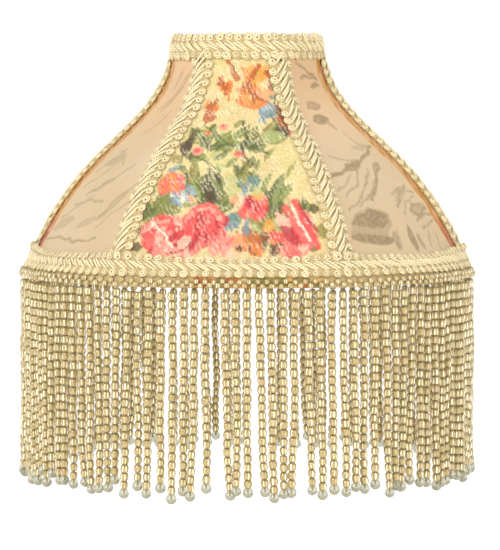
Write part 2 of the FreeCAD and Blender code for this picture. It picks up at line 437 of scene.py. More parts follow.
def damaskMaterial():
    # satin ground with a duller, darker figure
    material, tree, shader = newMaterial("damask")
    colour = readLayer(tree, "clothColour", "Color")
    figure = readLayer(tree, "figure")
    place = readLayer(tree, "clothPlace", "Vector")
    weave = useGroup(tree, wovenGroup, {"Place": place, "Across": 1.9, "Along": 2.3, "Uneven": 0.06})
    dust = useGroup(tree, handledGroup, {"Place": place, "Size": 0.05, "Depth": 0.07})
    finishShader(tree, shader, {
        "Base Color": shadeColour(tree, colour, weave["Shade"], dust["Shade"]),
        "Roughness": doMath(tree, "MULTIPLY_ADD", figure, 0.22, 0.55), "Sheen Weight": 0.15},
        doMath(tree, "MULTIPLY_ADD", figure, 0.8, weave["Height"]), 0.5, 0.00012)
    return material


def cordMaterial():
    # pale twisted thread, painted darker where it lies deep in the braid as painted shade
    material, tree, shader = newMaterial("gimpCord")
    length, depth = readLayer(tree, "cordLength"), readLayer(tree, "cordHeightShade")
    side = readLayer(tree, "cordSide", "Vector")
    twist = useGroup(tree, twistedGroup, {"Length": length, "Side": side, "Lay": 1.5, "Strands": 2.0})
    dust = useGroup(tree, handledGroup, {"Place": objectPlace(tree), "Size": 26.0, "Depth": 0.08})
    # painted shade: the low parts of the braid take the darker colour
    base = mixColours(tree, depth, paint(196, 172, 118), paint(241, 224, 178))
    finishShader(tree, shader, {
        "Base Color": shadeColour(tree, base, twist["Shade"], dust["Shade"]),
        "Roughness": 0.72, "Sheen Weight": 0.25}, twist["Height"], 0.6, 0.00018)
    return material


def beadMaterial():
    # champagne glass whose silver lining is shown as a painted reflection: upright bright bars that also glow
    material, tree, shader = newMaterial("linedBead")
    apart = splitAxes(tree, readLayer(tree, "beadSide", "Vector"))
    tone = readLayer(tree, "beadTone")
    angle = doMath(tree, "ARCTAN2", apart[1], apart[0])
    # painted reflection: upright bars painted bright round the bead, shown on some beads at random
    wave = doMath(tree, "COSINE", doMath(tree, "MULTIPLY", angle, 7.0))
    bars = doMath(tree, "MULTIPLY_ADD", wave, 0.5, 0.5)
    mottlePlace = joinAxes(tree, apart[0], apart[1], doMath(tree, "MULTIPLY", tone, 40.0))
    mottle = addNoise(tree, mottlePlace, 1.4, 1.0)
    gate = doMath(tree, "MULTIPLY", doMath(tree, "SUBTRACT", mottle, 0.40), 6.0)
    # painted shade: the body is darker towards both holes, and the painted bars fade there
    litMiddle = doMath(tree, "SUBTRACT", 1.0, doMath(tree, "POWER", doMath(tree, "ABSOLUTE", apart[2]), 2.2))
    shine = doMath(tree, "MULTIPLY", doMath(tree, "POWER", bars, 5.0), doMath(tree, "MULTIPLY", gate, litMiddle))
    bright = clampShare(tree, shine)
    light = paint(255, 246, 214)
    body = mixColours(tree, clampShare(tree, litMiddle), paint(140, 122, 70), paint(178, 158, 98))
    warmed = mixColours(tree, doMath(tree, "MULTIPLY", tone, 0.3), body, paint(202, 164, 122))
    # painted sheen: the glass is painted paler where it is seen at a grazing angle
    rim = addNode(tree, "ShaderNodeLayerWeight", {"Blend": 0.35}).outputs["Facing"]
    rimSheenShare = doMath(tree, "MULTIPLY", doMath(tree, "POWER", rim, 2.0), 0.55)
    withRimSheen = mixColours(tree, rimSheenShare, warmed, paint(222, 208, 160))
    # the painted bars also glow by emission, though a bead is no lamp
    finishShader(tree, shader, {
        "Base Color": mixColours(tree, bright, withRimSheen, light),
        "Emission Color": mixColours(tree, bright, paint(30, 26, 10), light), "Emission Strength": 0.45,
        "Metallic": 0.15, "Roughness": 0.2, "Coat Weight": 0.7, "Coat Roughness": 0.06})
    return material


def dropMaterial():
    # clear glass with a faint smoky tint, paler in soft swirls
    material, tree, shader = newMaterial("clearDrop")
    swirl = addNoise(tree, readLayer(tree, "beadSide", "Vector"), 2.0, 2.0)
    finishShader(tree, shader, {
        "Base Color": mixColours(tree, swirl, paint(176, 176, 150), paint(236, 234, 216)),
        "Roughness": 0.06, "IOR": 1.5, "Transmission Weight": 0.75})
    return material


def threadMaterial():
    material, tree, shader = newMaterial("fringeThread")
    dust = useGroup(tree, handledGroup, {"Place": objectPlace(tree), "Size": 90.0, "Depth": 0.2})
    finishShader(tree, shader, {
        "Base Color": shadeColour(tree, paint(190, 166, 112), dust["Shade"]), "Roughness": 0.8})
    return material


def wireMaterial():
    # cream paint over steel, worn to dull metal in small spots
    material, tree, shader = newMaterial("paintedWire")
    place = objectPlace(tree)
    spots = addNoise(tree, place, 420.0, 3.0)
    chips = addNode(tree, "ShaderNodeMapRange", {0: spots, 1: 0.66, 2: 0.70}).outputs[0]
    dust = useGroup(tree, handledGroup, {"Place": place, "Size": 60.0, "Depth": 0.15})
    coat = shadeColour(tree, paint(226, 216, 188), dust["Shade"])
    finishShader(tree, shader, {
        "Base Color": mixColours(tree, chips, coat, paint(112, 104, 92)),
        "Roughness": doMath(tree, "MULTIPLY_ADD", chips, 0.15, 0.38),
        "Metallic": doMath(tree, "MULTIPLY", chips, 0.8)},
        doMath(tree, "SUBTRACT", 1.0, chips), 0.4, 0.0001)
    return material


def brassMaterial():
    # a stamped brass washer, brushed round its hole
    material, tree, shader = newMaterial("brushedBrass")
    place = objectPlace(tree)
    apart = splitAxes(tree, place)
    squares = [doMath(tree, "POWER", apart[axis], 2.0) for axis in range(2)]
    reach = doMath(tree, "SQRT", doMath(tree, "ADD", *squares))
    brush = addNoise(tree, joinAxes(tree, doMath(tree, "MULTIPLY", reach, 5000.0)), 1.0, 2.0)
    stain = addNoise(tree, place, 260.0, 4.0)
    finishShader(tree, shader, {
        "Base Color": mixColours(tree, stain, paint(150, 112, 52), paint(222, 184, 104)),
        "Roughness": doMath(tree, "MULTIPLY_ADD", brush, 0.25, 0.22), "Metallic": 1.0}, brush, 0.25, 0.00005)
    return material


gimpCord = cordMaterial()
linedBead = beadMaterial()
clearDrop = dropMaterial()
fringeThread = threadMaterial()
paintedWire = wireMaterial()
brushedBrass = brassMaterial()
tapestryCloth = clothMaterial("tapestry", (1.15, 1.35), 0.86, 0.3, 0.00022, 0.16)
damaskCloth = damaskMaterial()
liningCloth = clothMaterial("lining", (2.2, 2.2), 0.9, 0.2, 0.0001, 0.05)
ribbonCloth = clothMaterial("ribbon", (1.4, 2.2), 0.85, 0.2, 0.00012, 0.14)
print("finishes ready")


# painting the cloth: each motif is laid over the last on (across, up) millimetres of the panel

dyes = {
    "cream": paint(220, 197, 138), "straw": paint(214, 196, 128), "sand": paint(212, 186, 130),
    "blush": paint(240, 190, 160), "peach": paint(238, 160, 110), "orange": paint(226, 122, 48),
    "amber": paint(226, 158, 62), "rust": paint(178, 88, 38), "brown": paint(120, 72, 36),
    "umber": paint(78, 54, 30), "coral": paint(232, 74, 72), "rose": paint(234, 104, 94),
    "pink": paint(234, 142, 124), "crimson": paint(178, 36, 50), "leaf": paint(118, 124, 50),
    "moss": paint(84, 94, 40), "olive": paint(138, 124, 52), "darkOlive": paint(76, 68, 32),
    "mint": paint(170, 180, 110), "teal": paint(92, 128, 112), "slate": paint(120, 138, 146),
    "sky": paint(150, 176, 180), "white": paint(248, 232, 204),
}


blotEdge = (0.82, 1.12)      # where a blot starts to fade and where it ends, as shares of its half size
threadEdge = (-0.35, 0.45)   # the same for leaves and strokes, in millimetres from their rim


def blotMask(s, h, spot):
    centreS, centreH, halfWide, halfHigh, turn = spot
    angle = math.radians(turn)
    x = (s - centreS) * math.cos(angle) + (h - centreH) * math.sin(angle)
    y = -(s - centreS) * math.sin(angle) + (h - centreH) * math.cos(angle)
    return 1 - smoothStep(np.sqrt((x / halfWide) ** 2 + (y / halfHigh) ** 2), *blotEdge)


def leafMask(s, h, blade):
    startS, startH, endS, endH, width = blade
    length = math.hypot(endS - startS, endH - startH)
    alongS, alongH = (endS - startS) / length, (endH - startH) / length
    along = ((s - startS) * alongS + (h - startH) * alongH) / length
    aside = np.abs((h - startH) * alongS - (s - startS) * alongH)
    room = width / 2 * np.sin(math.pi * np.clip(along, 0, 1)) ** 0.8
    return (1 - smoothStep(aside - room, *threadEdge)) * (along > 0) * (along < 1)


def strokeMask(s, h, line):
    width, points = line
    nearest = np.full(s.shape, 1e9)
    for (startS, startH), (endS, endH) in zip(points, points[1:]):
        runS, runH = endS - startS, endH - startH
        part = np.clip(((s - startS) * runS + (h - startH) * runH) / (runS ** 2 + runH ** 2), 0, 1)
        nearest = np.minimum(nearest, np.hypot(s - startS - part * runS, h - startH - part * runH))
    return 1 - smoothStep(nearest - width / 2, *threadEdge)


def lay(colours, mask, dye, strength=1.0):
    return colours + (mask * strength)[..., None] * (dyes[dye] - colours)


roseRings = ((0.66, 0.46, 7), (0.40, 0.36, 6), (0.16, 0.27, 4))    # reach, petal size, count
rosePetals = ("coral", "rose", "pink", "rose", "coral")


def layRose(colours, s, h, rose):
    # overlapping petals from the outside in, each with a darker edge and a pale hatched middle
    centreS, centreH, wide, high, seed = rose
    chance = np.random.RandomState(seed)
    for ringIndex, (reach, size, count) in enumerate(roseRings):
        for petal in range(count):
            turn = 2 * math.pi * (petal + 0.5 * chance.rand()) / count + ringIndex
            placeS = centreS + wide * reach * math.cos(turn)
            placeH = centreH + high * reach * math.sin(turn)
            lean = math.degrees(turn) + 90
            dark = "crimson" if chance.rand() < 0.6 else "coral"
            fill = rosePetals[chance.randint(len(rosePetals))]
            petalWide, petalHigh = wide * size, high * size
            edge = (placeS, placeH, petalWide * 1.12, petalHigh * 0.92, lean)
            faceS = placeS + (centreS - placeS) * 0.07
            face = (faceS, placeH + 0.5, petalWide * 0.98, petalHigh * 0.72, lean)
            glint = (placeS + 0.6, placeH + 0.9, petalWide * 0.55, petalHigh * 0.28, lean)
            pale = "pink" if ringIndex else "blush"
            for spot, dye, strength in ((edge, dark, 1.0), (face, fill, 1.0), (glint, pale, 0.6)):
                colours = lay(colours, blotMask(s, h, spot), dye, strength)
    return lay(colours, blotMask(s, h, (centreS, centreH, wide * 0.13, high * 0.13, 0)), "crimson")


tapestry = {
    "clouds": [  # broad washes: dye, place, half sizes, turn
        ("straw", (24, 68, 8, 14, 0)), ("straw", (-4, 62, 9, 8, 0)), ("sand", (8, 60, 10, 5, 20)),
        ("mint", (2, 52, 12, 7, 0)), ("blush", (1, 45, 6, 4, 0)), ("sand", (14, 30, 9, 12, 0)),
        ("mint", (15, 80, 6, 5, 10)), ("blush", (-18, 47, 5, 4, 0)), ("mint", (-30, 52, 6, 6, 0)),
    ],
    "blots": [  # dye, place, half sizes, turn
        ("amber", (8, 112, 6.5, 4.2, 10)), ("peach", (11, 102, 4.5, 3, 0)),
        ("orange", (3, 110, 2.4, 3.0, 0)), ("slate", (12.5, 94, 4.2, 4.6, 0)),
        ("sky", (11, 96, 2.2, 2.0, 0)), ("teal", (14.6, 101, 2.0, 1.4, 0)), ("teal", (14, 91, 2.2, 1.6, 0)),
        ("brown", (18, 95, 2.2, 5.5, -12)), ("rust", (21.5, 87, 2.6, 5.5, 14)),
        ("darkOlive", (21, 82.5, 2.0, 3.6, 10)), ("mint", (15, 80, 5.0, 3.6, 0)),
        ("pink", (-6, 85, 2.1, 2.0, 0)), ("coral", (-6.4, 85.6, 1.0, 1.0, 0)),
        ("orange", (-13, 81, 1.8, 1.6, 0)), ("pink", (-16, 71.5, 2.6, 2.2, 0)),
        ("coral", (-16.6, 72, 1.3, 1.1, 0)), ("pink", (2, 69.5, 2.8, 2.4, 0)),
        ("coral", (1.4, 70, 1.4, 1.2, 0)), ("umber", (-21.5, 74, 2.4, 3.0, 20)),
        ("umber", (-19.6, 79, 1.6, 2.4, 0)), ("olive", (-25, 67, 2.8, 2.6, 0)),
        ("teal", (-24, 62.5, 2.4, 2.0, 0)), ("slate", (-26.5, 60.5, 2.0, 1.6, 0)),
        ("coral", (-26, 55.5, 5.0, 4.0, 0)), ("orange", (-26.4, 56.5, 2.6, 2.2, 0)),
        ("amber", (-26.8, 57.2, 1.2, 1.0, 0)), ("pink", (-25, 51.2, 3.0, 1.6, 0)),
        ("coral", (-31, 54, 1.8, 2.2, 0)), ("leaf", (-29.5, 44, 4.4, 3.4, 30)),
        ("moss", (-35, 38.5, 4.4, 2.2, 40)), ("leaf", (-25.5, 40.5, 4.6, 2.6, 0)),
        ("teal", (8.4, 55.6, 2.6, 2.0, 0)), ("slate", (4.6, 50, 1.6, 3.0, 0)),
        ("peach", (-18, 46, 2.6, 2.0, 0)), ("peach", (1, 45, 2.2, 2.0, 0)), ("sand", (25, 45, 3.2, 3.0, 0)),
        ("coral", (9.5, 42, 5.6, 4.6, 0)), ("pink", (9.0, 40.6, 3.4, 2.4, 0)),
        ("amber", (10.4, 46.6, 3.0, 2.4, 0)), ("crimson", (8.4, 43.6, 1.4, 1.2, 0)),
        ("teal", (1.4, 36.5, 3.4, 3.6, 30)), ("slate", (5.8, 31, 1.6, 3.6, 0)),
        ("peach", (2, 26, 3.4, 3.2, 0)), ("rust", (9.4, 27, 2.8, 3.4, 0)),
        ("brown", (14.2, 27.4, 2.2, 3.6, 0)), ("orange", (18.4, 26.4, 2.4, 3.4, 0)),
        ("umber", (20.6, 32.4, 1.8, 2.8, 10)), ("amber", (15.6, 33, 2.4, 3.0, 0)),
        ("pink", (24, 25.6, 2.8, 2.8, 0)), ("rose", (28, 21.6, 3.2, 2.6, 0)),
        ("umber", (-40, 21.6, 2.6, 2.4, 0)), ("umber", (-38, 29.5, 1.6, 2.6, 0)),
        ("darkOlive", (34.6, 41.4, 1.9, 2.0, 0)), ("rust", (-3.4, 22, 3.2, 3.0, 0)),
        ("olive", (38, 30, 2.0, 4.0, 0)), ("brown", (34, 22, 3.0, 2.6, 0)),
    ],
    "leaves": [  # dye, from and to, width
        ("moss", (11, 104, 16.4, 108.4, 3.0)), ("olive", (9.6, 78.5, 16.4, 89.4, 3.6)),
        ("leaf", (-19, 77, -13, 83.4, 3.6)), ("moss", (-13, 75, -9.4, 86.6, 3.8)),
        ("leaf", (-8, 76, -2.4, 82.6, 3.4)), ("leaf", (-1, 78, 5.4, 86, 3.6)),
        ("moss", (3, 73, 8.4, 79, 3.4)), ("leaf", (-6, 72, 1, 76.8, 3.2)),
        ("moss", (-12, 72, -5, 76.6, 3.2)), ("leaf", (-18, 64, -12, 71, 3.4)),
        ("moss", (8, 71, 13, 76, 3.0)), ("olive", (-2, 84, 2, 89, 2.6)), ("moss", (-9, 66, -3, 72, 2.8)),
        ("leaf", (-4, 62, 1, 67.4, 2.6)), ("olive", (12, 66, 16, 73, 2.8)),
        ("olive", (-18, 51, -16.2, 64.6, 3.8)), ("darkOlive", (-5, 43, -11.4, 62.4, 4.6)),
        ("leaf", (-14, 44, -18, 55, 3.6)), ("olive", (4.4, 48, 5.6, 66, 1.8)),
        ("leaf", (8.0, 58, 9.6, 67.4, 1.8)), ("moss", (16, 36, 20.4, 59.4, 5.0)),
        ("leaf", (19, 44, 24.6, 54, 3.2)), ("leaf", (12, 49, 15.4, 60, 2.8)),
        ("moss", (-33, 45, -26, 50, 3.4)), ("leaf", (-38, 34, -31, 40, 3.4)),
        ("moss", (29, 33, 32, 44, 2.8)), ("olive", (22, 56, 25, 66, 2.4)),
        ("leaf", (-22, 42, -14, 46.4, 3.4)), ("moss", (-7, 38, 2.0, 46.4, 3.8)),
        ("olive", (11, 34, 15.4, 44, 3.0)),
    ],
    "strokes": [  # dye, width, points
        ("rust", 1.6, [(-5.6, 118), (-3.4, 113), (-1.6, 109)]),
        ("rust", 1.8, [(-9, 110), (-7, 106), (-6.2, 102)]),
        ("rust", 1.6, [(-10, 100), (-12.4, 96), (-14.6, 89)]),
        ("orange", 1.2, [(-3.6, 107), (-5.4, 103), (-5.0, 99)]),
        ("rust", 1.8, [(8.4, 116), (5, 111), (3.2, 107), (4.6, 103), (8.6, 100), (12, 98)]),
        ("orange", 2.0, [(-1, 99.4), (2.4, 97.4), (6, 96), (10.4, 97.6)]),
        ("rust", 1.4, [(11, 113), (13.4, 109), (12.4, 105)]),
        ("brown", 1.2, [(15, 98), (17.4, 93), (19, 88)]),
        ("coral", 1.4, [(20.6, 92), (22, 87), (22.6, 81)]),
        ("sky", 1.2, [(-22, 50), (-20.4, 47), (-19.6, 44.6)]), ("sky", 1.2, [(-17.8, 52), (-16.6, 48.6)]),
        ("moss", 1.0, [(-21, 77), (-12, 74), (-2, 75), (8, 74), (14, 70)]),
        ("moss", 0.9, [(-14, 86), (-8, 80), (-2, 74)]),
        ("darkOlive", 0.9, [(2, 88), (4, 80), (3, 72), (5, 64)]),
        ("moss", 0.9, [(-20, 70), (-13, 66), (-6, 60)]),
        ("coral", 2.6, [(26, 45), (29.4, 38), (34, 29), (36.4, 22)]),
        ("rose", 2.2, [(22.6, 42), (26.4, 34), (30.4, 26)]),
        ("crimson", 1.2, [(28, 44), (32, 37), (36, 30)]),
        ("white", 0.9, [(24.6, 43), (28.4, 35), (33, 26)]), ("slate", 1.2, [(7, 36), (6.4, 32), (7.4, 28)]),
        ("white", 0.9, [(-34, 34), (-28, 29), (-24, 22)]),
    ],
    # small blades scattered over a patch: dyes, (middle, half sizes), count, lean from upright, length
    "sprays": [
        (("moss", "leaf", "olive"), (-12, 79, 9, 5), 22, 0, 6),
        (("leaf", "moss", "mint"), (-2, 77, 7, 5), 22, 0, 6),
        (("leaf", "olive", "moss"), (6, 79, 4, 6), 14, 0, 6),
        (("moss", "olive", "darkOlive"), (13, 83, 4, 4), 12, -40, 7),
        (("darkOlive", "umber"), (21, 82, 1.5, 4), 7, 25, 6),
        (("darkOlive", "umber", "moss"), (-21, 73, 2, 5), 10, 10, 6),
        (("moss", "olive"), (-17, 56, 3, 6), 11, 0, 7), (("leaf", "mint"), (-2, 47, 5, 5), 16, 40, 6),
        (("darkOlive", "moss", "leaf", "umber"), (-8, 48, 5, 7), 28, 15, 8),
        (("leaf", "moss", "olive"), (5, 59, 4, 6), 16, 0, 6), (("teal", "slate"), (7, 54, 4, 3), 9, 0, 4),
        (("moss", "leaf", "darkOlive"), (17, 44, 2.6, 9), 20, -14, 8),
        (("leaf", "moss", "olive"), (-29, 42, 7, 4), 24, 30, 6),
        (("olive", "leaf"), (-35, 34, 3, 4), 10, 0, 5),
        (("rust", "orange", "amber"), (6, 106, 4.5, 7), 22, 35, 6),
        (("rust", "orange"), (-6, 109, 2.5, 5), 10, 30, 5),
        (("rust", "orange"), (-12.5, 93, 2, 4), 8, -20, 5),
        (("slate", "teal", "sky"), (12.5, 93, 3.4, 4), 14, 10, 4),
        (("brown", "rust"), (19, 92, 2, 6), 12, 20, 6),
        (("rust", "amber", "umber", "brown", "orange"), (14, 25, 12, 5), 46, 10, 7),
        (("olive", "leaf", "mint"), (16, 34, 8, 4), 18, 10, 6),
        (("slate", "sky", "teal"), (1, 35, 3, 4), 14, 40, 6),
        (("sky", "slate", "white"), (-20, 49, 3, 4), 10, 35, 7),
        (("olive", "moss"), (32, 41, 3, 4), 8, 10, 5),
        (("brown", "rust", "umber"), (25, 33, 2.5, 8), 14, 15, 6),
        (("mint", "straw"), (-6, 66, 12, 4), 10, 20, 5),
    ],
    "petals": [  # laid over the leaves in the same way
        (("coral", "orange", "rose"), (-26, 53, 4, 3), 16, 0, 5),
        (("coral", "rose", "pink", "crimson"), (9, 41, 4, 4), 22, 0, 6),
        (("rose", "pink", "blush", "coral", "crimson"), (-28, 24, 9, 8), 34, -22, 8),
        (("coral", "coral", "rose", "crimson", "crimson"), (-11, 28, 7, 8), 30, 0, 7),
        (("coral", "rose", "pink", "blush", "crimson"), (29, 26, 5, 8), 34, 26, 10),
        (("pink", "rose", "blush"), (-4, 23, 3, 5), 12, -20, 7),
    ],
    "roses": [(-11.5, 32.5, 9.5, 10.5, 4), (-27.6, 27.4, 10.4, 9.8, 11)],
}


def laySpray(colours, s, h, spray, chance):
    names, (centreS, centreH, wide, high), count, lean, size = spray
    for _ in range(count):
        startS = centreS + wide * chance.uniform(-1, 1)
        startH = centreH + high * chance.uniform(-1, 1) - size / 2
        angle = math.radians(90 + lean + chance.uniform(-34, 34))
        length = size * chance.uniform(0.7, 1.35)
        endS, endH = startS + length * math.cos(angle), startH + length * math.sin(angle)
        shape = (startS, startH, endS, endH, length * chance.uniform(0.28, 0.46))
        colours = lay(colours, leafMask(s, h, shape), names[chance.randint(len(names))], 0.85)
    return colours


def weaveCells(s, h, seed):
    # the pattern's edges step from thread to thread
    cellS, cellH = 0.86, 0.74
    column = np.floor(s / cellS)
    row = np.floor(h / cellH + 0.5 * (column % 2))
    steppedS, steppedH = (column + 0.5) * cellS, (row + 0.5 - 0.5 * (column % 2)) * cellH
    chance = cloudNoise(column * 0.77 + 3.1, row * 0.83 + 1.7, seed)    # each thread's own tint and stray
    stray = chance - 0.5
    return s * 0.45 + steppedS * 0.55 + stray * 0.9, h * 0.45 + steppedH * 0.55 + stray * 0.7, chance


def paintTapestry(s, h, seed, flip, lift):
    # flip mirrors the pattern and lift moves it up or down, so that no two cuts of the cloth are alike
    s, h, chance = weaveCells(s * flip, h + lift, seed)
    s = s + 1.4 * (cloudNoise(s / 5, h / 5, seed + 1) - 0.5)
    h = h + 1.4 * (cloudNoise(s / 5, h / 5, seed + 2) - 0.5)
    colours = np.broadcast_to(dyes["cream"], s.shape + (3,)).copy()
    wash = cloudNoise(s / 14, h / 11, seed + 3)
    colours = lay(colours, smoothStep(wash, 0.45, 0.8), "straw", 0.6)
    for dye, spot in tapestry["clouds"]:
        colours = lay(colours, blotMask(s, h, spot), dye, 0.55)
    picks = np.random.RandomState(seed + 7)
    for spray in tapestry["sprays"]:
        colours = laySpray(colours, s, h, spray, picks)
    for dye, blade in tapestry["leaves"]:
        colours = lay(colours, leafMask(s, h, blade), dye, 0.92)
        vein = (*blade[:4], blade[4] * 0.4)
        colours = lay(colours, leafMask(s - 0.5, h - 0.3, vein), "mint", 0.5)
    for dye, spot in tapestry["blots"]:
        colours = lay(colours, blotMask(s, h, spot), dye, 0.8)
    for rose in tapestry["roses"]:
        colours = layRose(colours, s, h, rose)
    for spray in tapestry["petals"]:
        colours = laySpray(colours, s, h, spray, picks)
    for dye, width, points in tapestry["strokes"]:
        colours = lay(colours, strokeMask(s, h, (width, points)), dye, 0.9)
    # slanting floats of pale thread that cross every colour
    slant = np.sin(2 * math.pi * (s * 0.80 + h * 0.42) / 1.55 + 5 * cloudNoise(s / 7, h / 7, seed + 4))
    patch = smoothStep(cloudNoise(s / 3.2, h / 3.2, seed + 5), 0.30, 0.75)
    colours = lay(colours, smoothStep(slant, 0.25, 0.85) * patch, "white", 0.42)
    speck = smoothStep(chance, 0.78, 0.95) * smoothStep(cloudNoise(s / 2, h / 2, seed + 6), 0.4, 0.7)
    colours = lay(colours, speck, "olive", 0.30)
    return colours * (0.90 + 0.2 * chance)[..., None]


damaskFigure = {
    "right": {
        "leaves": [  # from and to, width, depth of tone
            (-38, 26, -2, 37, 17, 0.5), (-34, 33, -3, 37, 8, 0.9), (-22, 37, -5, 34, 9, 1.0),
            (-38, 27, -12, 24, 6, 1.0), (-30, 24, -8, 25, 5, 1.0), (-17, 60, 2, 65.4, 4.6, 0.9),
            (-13, 88, 0, 90, 5, 0.9), (-11, 95.4, 1, 97.6, 5, 0.7), (-4, 91, 0.6, 83, 2.4, 0.6),
            (3, 17, 8.4, 31, 5.4, 0.9), (10, 18, 12.4, 27, 3.4, 0.7), (-11, 18, -5, 29, 3.4, 0.8),
            (7, 60, 14, 64, 4.4, 0.7), (-1, 106.4, 7, 107, 2.6, 0.8), (8, 117.4, 12, 115, 3, 0.6),
            (0, 72, 18, 74, 3, 0.4), (8, 43, 24, 51, 4, 0.45), (16, 36, 31, 41, 6, 0.5),
        ],
        "strokes": [  # width, points, depth
            (1.7, [(-29, 57.6), (-20, 59.4), (-10, 62.4), (0, 64.6), (9, 68.6), (18, 73.4)], 0.9),
            (1.9, [(12, 61), (5, 57), (0, 51.4), (-9, 45.4)], 0.8),
            (1.2, [(-30, 40), (-16, 46), (-6, 53), (2, 61)], 0.6),
            (1.2, [(-27, 47), (-13, 53), (-6, 61)], 0.6),
            (1.1, [(-21, 42), (-8, 47), (2, 55), (9, 62)], 0.55),
            (1.0, [(-31, 50), (-22, 53), (-14, 58)], 0.5), (1.2, [(-20, 68), (-10, 66), (0, 66)], 0.5),
            (1.1, [(-8, 116), (0, 113.2), (6, 109.4)], 0.8), (1.1, [(-6, 110), (0, 111), (5, 109.4)], 0.8),
            (1.0, [(4, 82), (8, 76), (9, 74)], 0.5), (1.7, [(16.6, 38), (20, 41.6), (28, 40.4)], 0.8),
            (1.6, [(17, 38.6), (21, 35.4), (30, 38.6)], 0.8), (1.4, [(18, 33), (24, 35.4), (32, 36)], 0.7),
            (1.2, [(19, 29), (26, 30), (33, 33)], 0.6), (1.3, [(8, 40), (14, 46), (23, 50.4)], 0.7),
            (1.2, [(9, 47), (17, 49.4), (27, 47)], 0.6), (1.1, [(10, 36), (16, 43), (26, 45)], 0.5),
            (1.2, [(18, 20), (23, 27)], 0.6), (1.0, [(25, 18), (29, 26)], 0.5),
            (1.1, [(-3, 29), (-8, 20)], 0.7),
        ],
        "strength": 1.0,
    },
    "left": {
        "leaves": [
            (-17, 62, -1, 69, 6, 0.6), (-34, 28, -12, 34, 6, 0.5), (12, 34, 30, 52, 6, 0.6),
            (-6, 30, 12, 35, 4.4, 0.5), (-12, 48, 6, 55, 3.6, 0.6), (-4, 92, 8, 108, 4, 0.4),
            (-2, 104, 5, 116, 3, 0.4),
        ],
        "strokes": [
            (1.3, [(-14, 46), (-4, 51.4), (6, 56), (14, 63)], 0.8),
            (1.3, [(12, 36), (20, 43), (31, 53)], 0.8), (1.1, [(-22, 40), (-8, 43), (8, 43)], 0.7),
            (1.2, [(-34, 22), (-16, 24.6), (4, 22.2), (22, 25)], 0.9),
            (1.1, [(-1, 96), (6, 104), (11, 114)], 0.7), (1.1, [(-6, 94), (2, 102), (8, 112)], 0.6),
            (1.1, [(-22, 58), (-14, 66), (-6, 72)], 0.7), (1.0, [(-24, 50), (-12, 57), (-2, 66)], 0.6),
            (1.1, [(-12, 71), (-4, 69), (2, 63)], 0.7), (1.1, [(-30, 33), (-18, 39), (-6, 46)], 0.7),
            (1.0, [(16, 30), (24, 38), (34, 44)], 0.6), (1.0, [(-4, 80), (4, 86), (8, 94)], 0.5),
        ],
        "strength": 0.8,
    },
}


damaskDyes = {"low": paint(208, 181, 138), "high": paint(219, 181, 134), "figure": paint(150, 124, 84),
              "strip": paint(204, 148, 84), "stripFoot": paint(188, 104, 60)}
stripWidth, stripWander = 9.2, 2.4


def paintDamask(s, h, reach, seed, side, stripEdge):
    # returns colours and the figure's mask; reach is the distance from the nearest rib, and stripEdge the
    # side, -1 or 1, where the next panel's tapestry peeps out beside the braid, or 0
    figureSet = damaskFigure[side]
    s2 = s + 1.6 * (cloudNoise(s / 4, h / 4, seed) - 0.5)
    h2 = h + 1.6 * (cloudNoise(s / 4, h / 4, seed + 1) - 0.5)
    figure = np.zeros(s.shape)
    grain = np.sin(2 * math.pi * (s2 * 0.40 - h2 * 0.92) / 2.4 + 3 * cloudNoise(s / 6, h / 6, seed + 8))
    grain = 0.92 + 0.08 * smoothStep(grain, -0.4, 0.5)
    for *blade, tone in figureSet["leaves"]:
        figure = np.maximum(figure, leafMask(s2, h2, blade) * tone * grain)
    for width, points, tone in figureSet["strokes"]:
        figure = np.maximum(figure, strokeMask(s2, h2, (width, points)) * tone)
    broken = 0.72 + 0.28 * smoothStep(cloudNoise(s / 1.4, h / 1.4, seed + 2), 0.15, 0.6)
    figure = figure * broken * figureSet["strength"]
    warmth = smoothStep(h, 66, 100)[..., None]
    base = damaskDyes["low"] * (1 - warmth) + damaskDyes["high"] * warmth
    base = base + (cloudNoise(s / 22, h / 22, seed + 3) - 0.5)[..., None] * 0.05
    colours = base + figure[..., None] * (damaskDyes["figure"] - base)
    if stripEdge:
        wander = stripWidth + stripWander * (cloudNoise(h / 7, h * 0 + 2.5, seed + 4) - 0.5)
        strip = (1 - smoothStep(reach, wander - 0.5, wander + 0.6)) * (s * stripEdge > 0)
        foot = smoothStep(38 - h, 0, 14)[..., None]
        warm = damaskDyes["strip"] * (1 - foot) + damaskDyes["stripFoot"] * foot
        warm = warm + (cloudNoise(s / 1.6, h / 3.0, seed + 5) - 0.5)[..., None] * 0.22
        colours = colours + strip[..., None] * (np.clip(warm, 0.01, 1) - colours)
        figure = np.maximum(figure, strip)
    return colours, figure


# the six cloth panels

panelSetup = {"rows": 236, "columns": 172, "backEvery": 4, "seam": 0.2, "slack": 0.22, "turnedIn": 0.003,
              "backShade": 0.8, "slackFoot": (8, 24), "slackTop": (4, 16), "slackHeight": 121,
              "slackSide": (4, 12)}    # the slack fades out over these distances from the sewn edges
tapestryCuts = {0: (-1, 3.0), 2: (1, -5.0), 4: (1, 0.0)}            # flip and lift, by the panel's first rib
damaskCuts = {1: ("right", 0), 3: ("left", -1), 5: ("right", 1)}    # figure and strip side, the same way


def panelHeights(rows, offset):
    # heights evenly spaced along the slope in the middle of a panel, and their distances along it
    heights = np.linspace(hemHeight, clothTop, 600)
    middle = skinPoint(heights, offset, 0, skinRadius(heights, offset) / 2)
    slope = pathLength(middle)
    even = np.linspace(0, slope[-1], rows)
    return np.interp(even, slope, heights), even


